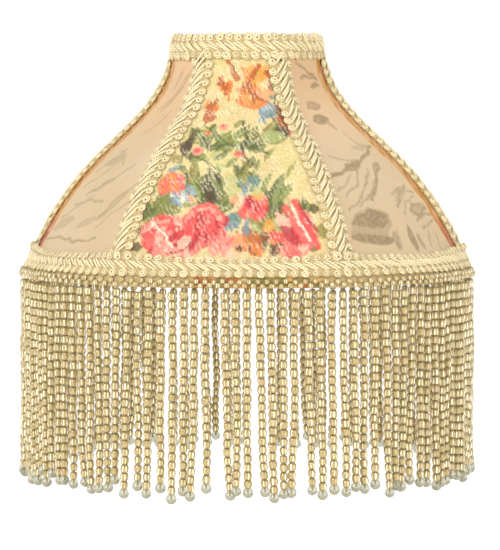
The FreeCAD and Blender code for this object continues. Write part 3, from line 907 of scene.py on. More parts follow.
def clothGrid(rib, rows, columns, offset, seam):
    # a panel's points, with each point's distance from its middle line and its distance up from the hem
    heights, up = panelHeights(rows, offset)
    radius = skinRadius(heights, offset)
    part = np.linspace(0, 1, columns)[None, :]
    along = seam + part * (radius[:, None] - 2 * seam)
    points = skinPoint(heights[:, None] + 0 * along, offset, rib, along)
    return points, along - radius[:, None] / 2, up[:, None] + 0 * along


def edgeLoop(rows, columns):
    # indices once round a grid's rim
    index = np.arange(rows * columns).reshape(rows, columns)
    return np.concatenate([index[0, :-1], index[:-1, -1], index[-1, :0:-1], index[:0:-1, 0]])


def clothPanel(rib):
    # a closed sheet: a fine painted face, a coarser back, and a rim that joins them
    setup = panelSetup
    every = setup["backEvery"]
    rows, columns = setup["rows"] // every * every + 1, setup["columns"] // every * every + 1
    front, s, h = clothGrid(rib, rows, columns, clothLayers["outside"], setup["seam"])
    back = clothGrid(rib, rows, columns, clothLayers["inside"], setup["seam"])[0]
    outward = front - back
    outward /= np.linalg.norm(outward, axis=-1, keepdims=True)
    belowTop = setup["slackHeight"] - h
    calm = np.minimum(smoothStep(h, *setup["slackFoot"]), smoothStep(belowTop, *setup["slackTop"]))
    edgeRoom = np.minimum(s - s[:, :1], s[:, -1:] - s)
    calm = calm * smoothStep(edgeRoom, *setup["slackSide"])
    slack = setup["slack"] * (cloudNoise(s / 16 + rib * 7, h / 22, 31) - 0.5) * calm
    front = front + outward * slack[..., None]
    back = (back + outward * slack[..., None])[::every, ::every]
    frontCount, backRows, backColumns = rows * columns, back.shape[0], back.shape[1]
    frontRim, backRim = edgeLoop(rows, columns), edgeLoop(backRows, backColumns) + frontCount
    fans = []
    for index in range(len(backRim)):
        here, there = backRim[index], backRim[(index + 1) % len(backRim)]
        run = [frontRim[(index * every + k) % len(frontRim)] for k in range(every + 1)]
        half = every // 2
        fans += [(here, run[k + 1], run[k]) for k in range(half)]
        fans += [(there, run[k + 1], run[k]) for k in range(half, every)]
        fans.append((here, there, run[half]))
    frontFaces = gridFaces(rows, columns)[:, ::-1]
    backFaces = gridFaces(backRows, backColumns) + frontCount
    points = np.concatenate([front.reshape(-1, 3), back.reshape(-1, 3)])
    floral = rib % 2 == 0
    name = ("floral" if floral else "damask") + f"_panel_{rib // 2 + 1}"
    mesh = makeMesh(name + "_cloth", points, [frontFaces, backFaces, np.array(fans)])
    figure = np.zeros(s.shape)
    if floral:
        colours = paintTapestry(s, h, 50 + rib, *tapestryCuts[rib])
    else:
        colours, figure = paintDamask(s, h, edgeRoom, 70 + rib, *damaskCuts[rib])

    def bothSides(values, backShare=1.0):
        # values for the face and then, with fewer points, for the back
        behind = values[::every, ::every] * backShare
        return np.concatenate([side.reshape(-1, *values.shape[2:]) for side in (values, behind)])

    storeColour(mesh, "clothColour", bothSides(colours, setup["backShade"]))
    storeVector(mesh, "clothPlace", bothSides(np.stack([s, h, 0 * s], -1)))
    storeValue(mesh, "figure", bothSides(figure))
    piece = makePiece(name + "_cloth", mesh, tapestryCloth if floral else damaskCloth)
    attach(piece, "shade")
    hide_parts(name)


for panelRib in range(bell["ribs"]):
    clothPanel(panelRib)
print("cloth panels made")


# scroll gimp: a flat braid is repeated by nodes, then bent onto the shade

def geometryNode(tree, kind, inputs=None, **settings):
    return addNode(tree, "GeometryNode" + kind, inputs, **settings).outputs[0]


def storeInTree(tree, geometry, name, value, kind="FLOAT", domain="POINT"):
    return geometryNode(tree, "StoreNamedAttribute", {"Geometry": geometry, "Name": name, "Value": value},
                        data_type=kind, domain=domain)


def randomShare(tree, low, high, seed):
    inputs = {2: low, 3: high, "Seed": seed}
    return addNode(tree, "FunctionNodeRandomValue", inputs, data_type="FLOAT").outputs[1]


def makeCordRowTree():
    # the path it is given becomes a round cord, repeated down the braid at an even pitch
    tree, given, out = newGroup("cordRow", "GeometryNodeTree", [
        ("Geometry", "NodeSocketGeometry", None), ("Cord Radius", "NodeSocketFloat", 0.5),
        ("Sides", "NodeSocketInt", 5), ("Count", "NodeSocketInt", 10), ("Pitch", "NodeSocketFloat", 3.0),
        ("Wobble", "NodeSocketFloat", 0.05), ("Seed", "NodeSocketInt", 1),
        ("Finish", "NodeSocketMaterial", None)], [("Geometry", "NodeSocketGeometry")])
    curve = geometryNode(tree, "MeshToCurve", {0: given["Geometry"]})
    thickness = geometryNode(tree, "InputNamedAttribute", {"Name": "cordScale"}, data_type="FLOAT")
    curve = geometryNode(tree, "SetCurveRadius", {"Curve": curve, "Radius": thickness})
    length = addNode(tree, "GeometryNodeSplineParameter").outputs["Length"]
    curve = storeInTree(tree, curve, "cordLength", length)
    ring = geometryNode(tree, "CurvePrimitiveCircle",
                        {"Resolution": given["Sides"], "Radius": given["Cord Radius"]})
    ring = storeInTree(tree, ring, "cordSide", geometryNode(tree, "InputPosition"), "FLOAT_VECTOR")
    cord = geometryNode(tree, "CurveToMesh", {"Curve": curve, "Profile Curve": ring, "Fill Caps": True})
    line = geometryNode(tree, "MeshLine", {"Count": given["Count"], "Offset": joinAxes(tree, given["Pitch"])})
    least, most = [addNode(tree, "ShaderNodeVectorMath", {0: tilt, "Scale": given["Wobble"]},
                           operation="SCALE").outputs[0] for tilt in ((-1, -1, -1.4), (1, 1, 1.4))]
    turn = addNode(tree, "FunctionNodeRandomValue", {"Min": least, "Max": most, "Seed": given["Seed"]},
                   data_type="FLOAT_VECTOR").outputs[0]
    size = randomShare(tree, doMath(tree, "SUBTRACT", 1.0, given["Wobble"]),
                       doMath(tree, "ADD", 1.0, given["Wobble"]), given["Seed"])
    row = geometryNode(tree, "InstanceOnPoints",
                       {"Points": line, "Instance": cord, "Rotation": turn, "Scale": size})
    row = geometryNode(tree, "RealizeInstances", {0: row})
    row = geometryNode(tree, "SetMaterial", {"Geometry": row, "Material": given["Finish"]})
    feed(tree, out["Geometry"], row)
    return tree


cordRowTree = makeCordRowTree()


def evaluateNodes(path, edges, tree, values, name, thickness=None):
    # runs a node tree over a line and returns the plain mesh that comes out
    mesh = bpy.data.meshes.new(name)
    mesh.from_pydata([tuple(p) for p in path], edges, [])
    if thickness is not None:
        storeValue(mesh, "cordScale", thickness)
    piece = linkObject(name, mesh)
    modifier = piece.modifiers.new("nodes", "NODES")
    modifier.node_group = tree
    sockets = {item.name: item.identifier for item in tree.interface.items_tree
               if item.item_type == "SOCKET" and item.in_out == "INPUT"}
    for key, value in values.items():
        modifier[sockets[key]] = value
    bpy.context.view_layer.update()
    ready = piece.evaluated_get(bpy.context.evaluated_depsgraph_get())
    made = bpy.data.meshes.new_from_object(ready)
    bpy.data.objects.remove(piece)
    return made


def readMesh(mesh):
    # points, faces grouped by their number of corners, and the two layers that the cord tree stores
    points = np.zeros(len(mesh.vertices) * 3, np.float32)
    mesh.vertices.foreach_get("co", points)
    loops = np.zeros(len(mesh.loops), np.int32)
    mesh.loops.foreach_get("vertex_index", loops)
    starts = np.zeros(len(mesh.polygons), np.int32)
    mesh.polygons.foreach_get("loop_start", starts)
    counts = np.diff(np.append(starts, len(loops)))
    faces = []
    for count in np.unique(counts):
        first = starts[counts == count]
        faces.append(loops[first[:, None] + np.arange(count)])
    length = np.zeros(len(mesh.vertices), np.float32)
    mesh.attributes["cordLength"].data.foreach_get("value", length)
    side = np.zeros(len(mesh.vertices) * 3, np.float32)
    mesh.attributes["cordSide"].data.foreach_get("vector", side)
    return points.reshape(-1, 3).astype(float), faces, length, side.reshape(-1, 3)


def scrollPath(turned, pitch, setup):
    # one cord: it rises from under its neighbours, crosses the braid on a slant, rounds the edge and
    # curls into a spiral
    radius, centre = setup["loop"], setup["centre"]
    join = math.radians(setup["joinAngle"])
    start = np.array([-setup["reach"] * pitch, setup["cross"]])
    end = np.array([radius * math.cos(join), -centre + radius * math.sin(join)])
    t = np.linspace(0, 1, 9)[:-1, None]
    away = np.array(setup["setOff"]) * setup["pull"]
    into = np.array([math.sin(join), -math.cos(join)]) * setup["pull"]
    stem = ((2 * t ** 3 - 3 * t ** 2 + 1) * start + (t ** 3 - 2 * t ** 2 + t) * away
            + (3 * t ** 2 - 2 * t ** 3) * end + (t ** 3 - t ** 2) * into)
    hump = np.sin(math.pi * np.clip(t * 0.86 + 0.04, 0, 1)) ** 0.8
    lift = setup["stemLow"] + setup["stemRise"] * hump
    share = np.linspace(0, 1, setup["spiralPoints"])
    angle = join - 2 * math.pi * setup["turns"] * share
    shrink = 1 - (1 - setup["innerShare"]) * share ** setup["tighten"]
    curlU = radius * setup["stretchU"] * shrink * np.cos(angle)
    curlV = radius * shrink * np.sin(angle)
    curl = np.stack([curlU + setup["slant"] * curlV, -centre + curlV,
                     setup["curlLow"] + setup["dome"] * share], -1)
    path = np.concatenate([np.concatenate([stem + [[setup["slant"] * 0.3, 0]], lift], axis=1), curl])
    if turned:
        path[:, :2] *= -1
        path[:, 0] += setup["interleave"] * pitch
    thinning = np.linspace(1, setup["innerScale"], len(curl))
    thickness = np.concatenate([np.full(len(stem), setup["stemScale"]), thinning])
    return path, thickness


def bandSection(setup):
    # rounded section of the woven ground under the scrolls, as (across, up) pairs
    half, low, high = setup["groundHalf"], setup["groundLow"], setup["groundHigh"]
    across = np.linspace(-half, half, 9)
    upper = np.stack([across, high - 0.25 * (across / half) ** 4], -1)
    lower = np.stack([across[::-1], 0 * across + low], -1)
    return np.concatenate([upper, lower])


bandStep = 1.1


def bandMesh(length, setup, closed):
    # the braid's woven ground, as a tube of that section
    section = bandSection(setup)
    count = int(length / bandStep)
    along = np.arange(count) * length / count if closed else np.linspace(0, length, count)
    points = np.zeros((count, len(section), 3))
    points[..., 0] = along[:, None]
    points[..., 1] = section[None, :, 0]
    points[..., 2] = section[None, :, 1]
    faces = gridFaces(count, len(section), closed, True)
    groups = [faces]
    if not closed:
        ring = np.arange(len(section))
        groups.append(ring[::-1][None, :].copy())
        groups.append((ring + (count - 1) * len(section))[None, :])
    return points.reshape(-1, 3), groups


def bendOnto(strip, flat):
    # flat is (along, across, up) on the braid laid straight
    table, normals = strip["points"], strip["normals"]
    rows, columns = table.shape[:2]
    u = flat[:, 0] / strip["length"] * (rows - 1)
    if strip["closed"]:
        u = np.mod(u, rows - 1)
    v = (flat[:, 1] - strip["low"]) / (strip["high"] - strip["low"]) * (columns - 1)
    row = np.clip(np.floor(u).astype(int), 0, rows - 2)
    column = np.clip(np.floor(v).astype(int), 0, columns - 2)
    partU, partV = (u - row)[:, None], (v - column)[:, None]

    def blend(values):
        near = values[row, column] * (1 - partV) + values[row, column + 1] * partV
        far = values[row + 1, column] * (1 - partV) + values[row + 1, column + 1] * partV
        return near * (1 - partU) + far * partU

    return blend(table) + blend(normals) * flat[:, 2:3]


def makeStrip(points, low, high, closed):
    # a table of the surface that a braid is sewn to, evenly spaced along and across
    middle = points[:, points.shape[1] // 2]
    walk = pathLength(middle)
    even = np.linspace(0, walk[-1], len(middle))
    spaced = np.empty_like(points)
    for column in range(points.shape[1]):
        for axis in range(3):
            spaced[:, column, axis] = np.interp(even, walk, points[:, column, axis])
    padded = np.concatenate([spaced[-2:-1], spaced, spaced[1:2]]) if closed else spaced
    alongSlope = np.gradient(padded, axis=0)
    alongSlope = alongSlope[1:-1] if closed else alongSlope
    acrossSlope = np.gradient(spaced, axis=1)
    normals = np.cross(alongSlope, acrossSlope)
    normals /= np.linalg.norm(normals, axis=-1, keepdims=True)
    for _ in range(3):  # softens the fold over a rib
        inner = (normals[:, :-2] + 2 * normals[:, 1:-1] + normals[:, 2:]) / 4
        normals = np.concatenate([normals[:, :1], inner, normals[:, -1:]], axis=1)
    normals /= np.linalg.norm(normals, axis=-1, keepdims=True)
    return {"points": spaced, "normals": normals, "length": walk[-1], "low": low, "high": high,
            "closed": closed}


def sewBraid(name, strip, setup, nodes):
    closed = strip["closed"]
    count = max(4, round(strip["length"] / setup["pitch"]))
    pitch = strip["length"] / count
    if not closed:
        count += 1
    jobs = [(scrollPath(False, pitch, setup["lower"]), setup["cord"], setup["seed"]),
            (scrollPath(True, pitch, setup["upper"]), setup["cord"], setup["seed"] + 1)]
    allPoints, allFaces, lengths, sides = [], [], [], []
    start = 0    # the number of the next part's first point
    for (path, thickness), radius, seed in jobs:
        values = {"Cord Radius": radius, "Sides": setup["sides"], "Count": count, "Pitch": pitch,
                  "Wobble": setup["wobble"], "Seed": seed, "Finish": gimpCord}
        edges = [(k, k + 1) for k in range(len(path) - 1)]
        mesh = evaluateNodes(path, edges, cordRowTree, values, name + "_row", thickness)
        points, faces, length, side = readMesh(mesh)
        bpy.data.meshes.remove(mesh)
        allPoints.append(points)
        allFaces += [face + start for face in faces]
        lengths.append(length)
        sides.append(side / radius)
        start += len(points)
    points, groups = bandMesh(strip["length"], setup, closed)
    allPoints.append(points)
    allFaces += [group + start for group in groups]
    lengths.append(points[:, 0] * 0.8 + points[:, 1] * 0.9)
    sides.append(np.tile([1.0, 0.0, 0.0], (len(points), 1)))
    flat = np.concatenate(allPoints)
    mesh = makeMesh(name, bendOnto(strip, flat), allFaces)
    storeValue(mesh, "cordLength", np.concatenate(lengths))
    storeVector(mesh, "cordSide", np.concatenate(sides))
    # painted shade by height in the braid: low points are painted darker
    storeValue(mesh, "cordHeightShade", smoothStep(flat[:, 2], setup["groundHigh"] - 0.1, 1.5))
    piece = makePiece(name, mesh, gimpCord)
    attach(piece, "shade")
    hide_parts(*nodes)


roundScroll = {"reach": 1.2, "cross": 1.7, "loop": 1.66, "centre": 3.85, "joinAngle": 62, "pull": 3.4,
               "spiralPoints": 21, "turns": 1.62, "innerShare": 0.16, "tighten": 1.0, "stretchU": 1.0,
               "slant": 0.0, "setOff": (0.86, -0.5), "stemLow": 0.42, "stemRise": 0.86, "curlLow": 0.70,
               "dome": 0.42, "stemScale": 1.06, "innerScale": 0.72, "interleave": 0.26}
uprightScroll = dict(roundScroll, loop=1.72, stretchU=0.92)
collarScroll = dict(uprightScroll, loop=2.0, centre=3.7, slant=-0.35, turns=1.9)
longScroll = dict(roundScroll, loop=1.42, centre=3.9, turns=1.3, innerShare=0.3, stretchU=0.95,
                  slant=0.45, reach=1.5)

footBraid = {"pitch": 4.5, "cord": 0.56, "sides": 5, "wobble": 0.05, "groundHalf": 4.9, "groundLow": 0.02,
             "groundHigh": 0.85, "upper": roundScroll, "lower": uprightScroll, "seed": 3, "lowEdge": -88.1,
             "highEdge": -71.1, "width": 12.0, "levels": 120, "step": 1.5}
collarBraid = {"pitch": 4.1, "cord": 0.58, "sides": 5, "wobble": 0.08, "groundHalf": 5.2, "groundLow": 0.02,
               "groundHigh": 0.9, "upper": roundScroll, "lower": collarScroll, "seed": 8, "lowEdge": 2.9,
               "highEdge": 12.3, "width": 12.6, "levels": 60, "rollRadius": 2.4, "rollAngle": 1.9}
ribBraid = {"pitch": 4.4, "cord": 0.55, "sides": 5, "wobble": 0.05, "groundHalf": 4.7, "groundLow": 0.02,
            "groundHigh": 0.8, "seed": 20, "from": 2.4, "to": -78.4, "levels": 260, "corner": 2.2,
            "roundTowardsNext": (False, True, False, True, True, False)}
stripHalf = 7            # each strip's table reaches a little past its braid's edges
stripAcross = np.linspace(-stripHalf, stripHalf, 57)


def ribStrip(rib, setup):
    # the fold of cloth over a rib, from under the collar to under the foot braid
    offset = clothLayers["braidBase"]
    heights = np.linspace(setup["from"], setup["to"], setup["levels"])
    points = skinPoint(heights[:, None], offset, rib, stripAcross[None, :])
    corner = setup["corner"]
    near = np.abs(stripAcross) < corner
    t = ((stripAcross[near] + corner) / (2 * corner))[None, :, None]
    left, tip, right = [skinPoint(heights, offset, rib, along + 0 * heights)[:, None]
                        for along in (-corner, 0, corner)]
    middle = tip * 0.55 + (left + right) * 0.225
    points[:, near] = (1 - t) ** 2 * left + 2 * t * (1 - t) * middle + t * t * right
    points[:, near] += (tip - (left + right) / 2) * 0.18 * (4 * t * (1 - t))
    return makeStrip(points, -stripHalf, stripHalf, False)


def ringSurface(setup, count, offset):
    # angles once round, heights, and the skin at both, from below the braid's lower edge to its upper limit
    turns = np.linspace(0, fullTurn, count)
    turns[-1] = 0
    heights = np.linspace(setup["lowEdge"] - 2, setup["highEdge"], setup["levels"])
    grid = np.meshgrid(turns, heights, indexing="ij")
    return turns, heights, aroundPoint(grid[1], offset, grid[0])


def measureAcross(surface, heights, setup):
    # the surface at even distances up it, with the braid's lower edge at its set height
    slope = pathLength(surface, axis=1)
    points = np.empty((len(surface), len(stripAcross), 3))
    for index, row in enumerate(slope):
        want = stripAcross + setup["width"] / 2 + np.interp(setup["lowEdge"], heights, row[:len(heights)])
        for axis in range(3):
            points[index, :, axis] = np.interp(want, row, surface[index, :, axis])
    return points


def footStrip(setup):
    # the foot braid follows the cloth's slope, so that it stands lower in the middle of a panel
    turns, heights, surface = ringSurface(setup, 361, clothLayers["footBraidBase"])
    points = measureAcross(surface, heights, setup)
    # it steps up over the ends of the rib braids
    fromRib = distanceFromRib(turns) * bell["footRadius"]
    overRib = (1 - smoothStep(fromRib, 3.0, 7.5))[:, None]
    step = setup["step"] * overRib * smoothStep(stripAcross, 1.5, 4.5)[None, :]
    outward = points / np.linalg.norm(points[..., :2], axis=-1, keepdims=True)
    outward[..., 2] = 0
    return makeStrip(points + outward * step[..., None], -stripHalf, stripHalf, True)


def collarStrip(setup):
    # up the neck and over the top ring
    turns, heights, surface = ringSurface(setup, 241, clothLayers["braidBase"])
    roll = np.linspace(0, setup["rollAngle"], 26)[1:]
    inward = -np.stack([np.cos(turns), np.sin(turns), 0 * turns], -1)
    over = surface[:, -1:] + setup["rollRadius"] * (1 - np.cos(roll))[None, :, None] * inward[:, None]
    over[..., 2] += setup["rollRadius"] * np.sin(roll)
    points = measureAcross(np.concatenate([surface, over], axis=1), heights, setup)
    return makeStrip(points, -stripHalf, stripHalf, True)


for ribIndex in range(bell["ribs"]):
    rows = (roundScroll, longScroll) if ribBraid["roundTowardsNext"][ribIndex] else (longScroll, roundScroll)
    ribSetup = dict(ribBraid, upper=rows[0], lower=rows[1], seed=ribBraid["seed"] + ribIndex * 3)
    ribBraidName = f"rib_braid_{ribIndex + 1}"
    sewBraid(ribBraidName + "_gimp", ribStrip(ribIndex, ribSetup), ribSetup, [ribBraidName])
sewBraid("foot_gimp", footStrip(footBraid), footBraid, ["bottom_braid"])
sewBraid("collar_gimp", collarStrip(collarBraid), collarBraid, ["top_braid"])
print("scroll gimp sewn on")


# the ribbon tape that holds the fringe, and the lining

tapeSetup = {"around": 900, "rows": 20, "top": -84.4, "colour": paint(196, 172, 118), "cell": 0.9,
             "frontFrom": (258, 262), "frontTo": (293, 297),
             "patches": (("olive", 0.0, 0.46), ("sand", 0.46, 0.56), ("amber", 0.56, 0.70),
                         ("rust", 0.70, 1.0))}
liningSetup = {"around": 540, "rows": 90, "colour": paint(232, 222, 192), "arms": 3, "armRadius": 28.4,
               "slot": 3.6, "seamToStitch": 1.9, "flat": (0.6, 0.128)}


def closedBand(lowHeights, highHeights, inside, outside, setup, turns):
    # a thin closed band round the bell between two edges, which may rise and fall with the angle
    part = np.linspace(0, 1, setup["rows"])[:, None]
    heights = lowHeights * (1 - part) + highHeights * part
    across = turns[None, :] + 0 * heights
    outer, inner = [aroundPoint(heights, offset, across) for offset in (outside, inside)]
    points = np.concatenate([outer, inner[::-1]])
    return points, gridFaces(len(points), len(turns), True, True)[:, ::-1]


def bandPiece(name, points, faces, material, colours, along):
    mesh = makeMesh(name, points.reshape(-1, 3), faces)
    up = points[..., 2] - hemHeight
    storeColour(mesh, "clothColour", colours.reshape(-1, 3))
    storeVector(mesh, "clothPlace", np.stack([along, up, 0 * up], -1).reshape(-1, 3))
    return makePiece(name, mesh, material)


def fringeTape(setup):
    # its front shows a few threads of the cloth's colours through the beads
    turns = np.arange(setup["around"]) / setup["around"] * fullTurn
    edges = [np.full(len(turns), height) for height in (hemHeight, setup["top"])]
    layers = (clothLayers["tapeInside"], clothLayers["tapeOutside"])
    points, faces = closedBand(*edges, *layers, setup, turns)
    around = np.degrees(turns)[None, :] + 0 * points[..., 0]
    along = np.radians(around) * bell["footRadius"]
    up = points[..., 2] - hemHeight
    stepped = np.floor(along / setup["cell"]) * setup["cell"]
    colours = np.broadcast_to(setup["colour"], points.shape).copy()
    front = smoothStep(around, *setup["frontFrom"]) * (1 - smoothStep(around, *setup["frontTo"]))
    patchwork = cloudNoise(stepped / 3.5, up / 1.6, 91)
    for dye, least, most in setup["patches"]:
        colours = lay(colours, front * (patchwork >= least) * (patchwork < most), dye, 0.85)
    piece = bandPiece("fringe_tape_ribbon", points, faces, ribbonCloth, colours, along)
    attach(piece, "shade")
    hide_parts("fringe_tape")


def liningPiece(setup):
    # its top edge dips where a spider arm passes, and each gore's seam shows with a row of stitches
    turns = np.arange(setup["around"]) / setup["around"] * fullTurn
    armStep = fullTurn / setup["arms"]
    toArm = np.abs((turns / armStep - 0.25 + 0.5) % 1 - 0.5) * armStep * setup["armRadius"]
    low = np.full(len(turns), bell["footHeight"])
    high = bell["topHeight"] - setup["slot"] * (1 - smoothStep(toArm, 1.6, 4.0))
    layers = (clothLayers["liningInside"], clothLayers["liningOutside"])
    points, faces = closedBand(low, high, *layers, setup, turns)
    radius = np.linalg.norm(points[..., :2], axis=-1)
    colours = np.broadcast_to(setup["colour"], points.shape).copy()
    seam = distanceFromRib(turns)[None, :] * radius
    colours = lay(colours, 1 - smoothStep(seam, 0.5, 1.2), "sand", 0.6)
    dashes = np.sin((points[..., 2] - hemHeight) * 2.2) > 0
    stitch = (1 - smoothStep(np.abs(seam - setup["seamToStitch"]), 0.15, 0.4)) * dashes
    colours = lay(colours, stitch, "brown", 0.25)
    piece = bandPiece("lining_cloth_inner", points, faces, liningCloth, colours, turns[None, :] * radius)
    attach(piece, "shade")
    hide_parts("lining")


fringeTape(tapeSetup)
liningPiece(liningSetup)
print("tape and lining made")


# the beaded fringe

fringe = {
    "groups": 20, "strands": 6, "circle": 99.3948, "top": -92.0, "pitch": 3.47, "length": 82.0,
    "extra": (0.0, 2.4, 0.9, 3.2, 1.4, 2.6), "uneven": (-2.4, 1.2), "tie": 1.4, "firstLevel": (0.35, 1.6),
    "levels": (2.8, 10.0, 19.0, 30.0, 42.0, 55.0, 68.0), "linePoints": 40, "firstBead": 1.75,
    "beadRadius": 1.84, "beadHalf": 1.72, "holeRadius": 0.55, "beadSides": 12,
    "dropRadius": 2.3, "dropSides": 14, "threadRadius": 0.28, "threadSides": 5,
    "sway": 3.2, "closest": 3.75, "groupRoom": 0.45, "settlings": 200, "crook": 0.5, "inset": -0.3,
    "gapAfter": 88, "gapPush": 1.4, "gapFade": 1.2, "seed": 17,
}
heading = {
    "heights": (-88.9, -90.5), "count": 150, "proud": 1.1, "stray": 0.25, "size": (0.54, 0.62),
}


def beadTemplate(radius, half, hole, around, profile):
    # a bead round the Z axis, from its profile as (share of the way out, share of the way up) pairs
    angles = np.arange(around) / around * 2 * math.pi
    points, sides = [], []
    for share, level in profile:
        reach = hole + (radius - hole) * share
        for angle in angles:
            points.append((reach * math.cos(angle), reach * math.sin(angle), level * half))
            sides.append((math.cos(angle), math.sin(angle), level))
    faces = gridFaces(len(profile), around, False, True)[:, ::-1]
    caps = np.arange(around)
    groups = [faces, caps[::-1][None, :].copy(), (caps + (len(profile) - 1) * around)[None, :]]
    return np.array(points), groups, np.array(sides)


def templateObject(name, shape):
    points, groups, sides = shape
    mesh = makeMesh(name, points, groups)
    storeVector(mesh, "beadSide", sides)
    return bpy.data.objects.new(name, mesh)


beadProfile = [(0.0, -0.76), (0.52, -1.0), (0.87, -0.64), (1.0, 0.0), (0.87, 0.64), (0.52, 1.0), (0.0, 0.76)]
dropProfile = [(math.sin(a), -math.cos(a)) for a in np.linspace(0.22, math.pi - 0.22, 9)]
beadParts = beadTemplate(fringe["beadRadius"], fringe["beadHalf"], fringe["holeRadius"], fringe["beadSides"],
                         beadProfile)
dropParts = beadTemplate(fringe["dropRadius"], fringe["dropRadius"], 0.0, fringe["dropSides"], dropProfile)
beadShape = templateObject("beadShape", beadParts)
dropShape = templateObject("dropShape", dropParts)


def makeStrandTree():
    # beads threaded at an even pitch down each line, a clear drop at its end, and the thread through them
    tree, given, out = newGroup("beadStrands", "GeometryNodeTree", [
        ("Geometry", "NodeSocketGeometry", None), ("Bead", "NodeSocketObject", None),
        ("Drop", "NodeSocketObject", None), ("Pitch", "NodeSocketFloat", 0.0035),
        ("First Bead", "NodeSocketFloat", 0.003), ("Thread Radius", "NodeSocketFloat", 0.0003),
        ("Seed", "NodeSocketInt", 1), ("Thread Finish", "NodeSocketMaterial", None),
        ("Bead Finish", "NodeSocketMaterial", None), ("Drop Finish", "NodeSocketMaterial", None)],
        [("Geometry", "NodeSocketGeometry")])
    line = geometryNode(tree, "MeshToCurve", {0: given["Geometry"]})
    ring = geometryNode(tree, "CurvePrimitiveCircle",
                        {"Resolution": fringe["threadSides"], "Radius": given["Thread Radius"]})
    thread = geometryNode(tree, "CurveToMesh", {"Curve": line, "Profile Curve": ring, "Fill Caps": True})
    thread = geometryNode(tree, "SetMaterial", {"Geometry": thread, "Material": given["Thread Finish"]})
    beaded = geometryNode(tree, "TrimCurve", {"Curve": line, 4: given["First Bead"], 5: 10.0}, mode="LENGTH")
    places = geometryNode(tree, "ResampleCurve", {"Curve": beaded, "Length": given["Pitch"]}, mode="LENGTH")
    tangent = geometryNode(tree, "InputTangent")
    upright = addNode(tree, "FunctionNodeAlignRotationToVector", {"Vector": tangent}, axis="Z").outputs[0]
    spin = randomShare(tree, 0.0, fullTurn, given["Seed"])
    turned = addNode(tree, "FunctionNodeAxisAngleToRotation", {"Axis": (0, 0, 1), "Angle": spin}).outputs[0]
    rotation = addNode(tree, "FunctionNodeRotateRotation", {0: upright, 1: turned},
                       rotation_space="LOCAL").outputs[0]
    size = randomShare(tree, 0.93, 1.03, doMath(tree, "ADD", given["Seed"], 7.0))
    tone = randomShare(tree, 0.0, 1.0, doMath(tree, "ADD", given["Seed"], 11.0))
    last = geometryNode(tree, "CurveEndpointSelection", {0: 0, 1: 1})
    notLast = addNode(tree, "FunctionNodeBooleanMath", {0: last}, operation="NOT").outputs[0]
    branches = [thread]
    for source, chosen in (("Bead", notLast), ("Drop", last)):
        info = addNode(tree, "GeometryNodeObjectInfo", {"Object": given[source]}, transform_space="ORIGINAL")
        put = geometryNode(tree, "InstanceOnPoints", {
            "Points": places, "Selection": chosen, "Instance": info.outputs["Geometry"],
            "Rotation": rotation, "Scale": size})
        put = storeInTree(tree, put, "beadTone", tone, domain="INSTANCE")
        put = geometryNode(tree, "RealizeInstances", {0: put})
        finish = given[source + " Finish"]
        branches.append(geometryNode(tree, "SetMaterial", {"Geometry": put, "Material": finish}))
    joined = tree.nodes.new("GeometryNodeJoinGeometry")
    for branch in branches:
        tree.links.new(branch, joined.inputs[0])
    feed(tree, out["Geometry"], joined.outputs[0])
    return tree


strandTree = makeStrandTree()


def settleSway(chance):
    # how far each strand's end drifts sideways and outwards; neighbours may lean together but don't cross
    setup = fringe
    count = setup["groups"] * setup["strands"]
    gap = 2 * math.pi * setup["circle"] / count
    sway = chance.uniform(-1, 1, count) * setup["sway"]
    # a little more room where the next strand is in another group
    between = np.arange(count) % setup["strands"] == setup["strands"] - 1
    for _ in range(setup["settlings"]):
        room = gap + np.roll(sway, -1) - sway - setup["closest"] - setup["groupRoom"] * between
        short = np.minimum(room, 0) / 2
        sway = sway + short - np.roll(short, 1)
    return sway


def strandLines(group, chance, sways):
    # six hanging lines, each a little crooked
    setup = fringe
    lines = []
    for strand in range(setup["strands"]):
        index = group * setup["strands"] + strand
        angle = 2 * math.pi * (index + 0.5) / (setup["groups"] * setup["strands"])
        outward = np.array([math.cos(angle), math.sin(angle), 0])
        sideways = np.array([-math.sin(angle), math.cos(angle), 0])
        extra = setup["extra"][(strand * 5 + group * 2) % len(setup["extra"])]
        length = setup["length"] + extra + setup["tie"] + chance.uniform(*setup["uneven"])
        levels = np.array([chance.uniform(*setup["firstLevel"]), *setup["levels"], length])
        share = (levels - levels[0]) / (length - levels[0])
        crook = chance.uniform(-1, 1, len(levels)) * setup["crook"]
        side = sways[index] * share ** 1.3 + crook * smoothStep(share, 0.02, 0.25)
        out = setup["inset"] + chance.uniform(-1, 1, len(levels)) * 0.6 * smoothStep(share, 0.02, 0.3)
        fromGap = index - setup["gapAfter"] - 0.5    # two neighbours stand apart near the front
        push = math.copysign(setup["gapPush"], fromGap) * math.exp(-(abs(fromGap) - 0.5) / setup["gapFade"])
        side = side + push
        points = outward * (setup["circle"] + out[:, None]) + sideways * side[:, None]
        points[:, 2] += setup["top"] - levels
        fine = np.linspace(0, 1, setup["linePoints"])
        lines.append(np.stack([np.interp(fine, share, points[:, axis]) for axis in range(3)], -1))
    return lines


def fringeGroup(group, chance, sways):
    lines = strandLines(group, chance, sways)
    path = np.concatenate(lines) * mm
    edges, start = [], 0
    for line in lines:
        edges += [(start + k, start + k + 1) for k in range(len(line) - 1)]
        start += len(line)
    values = {"Bead": beadShape, "Drop": dropShape, "Pitch": fringe["pitch"] * mm,
              "First Bead": fringe["firstBead"] * mm, "Thread Radius": fringe["threadRadius"] * mm,
              "Seed": fringe["seed"] + group * 13, "Thread Finish": fringeThread,
              "Bead Finish": linedBead, "Drop Finish": clearDrop}
    name = f"fringe_{group + 1:02d}_strands"
    mesh = evaluateNodes(path, edges, strandTree, values, name)
    mesh.name = name
    piece = makePiece(name, mesh, None)
    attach(piece, f"fringe_{group + 1:02d}")
    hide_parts(f"fringe_group_{group + 1:02d}")


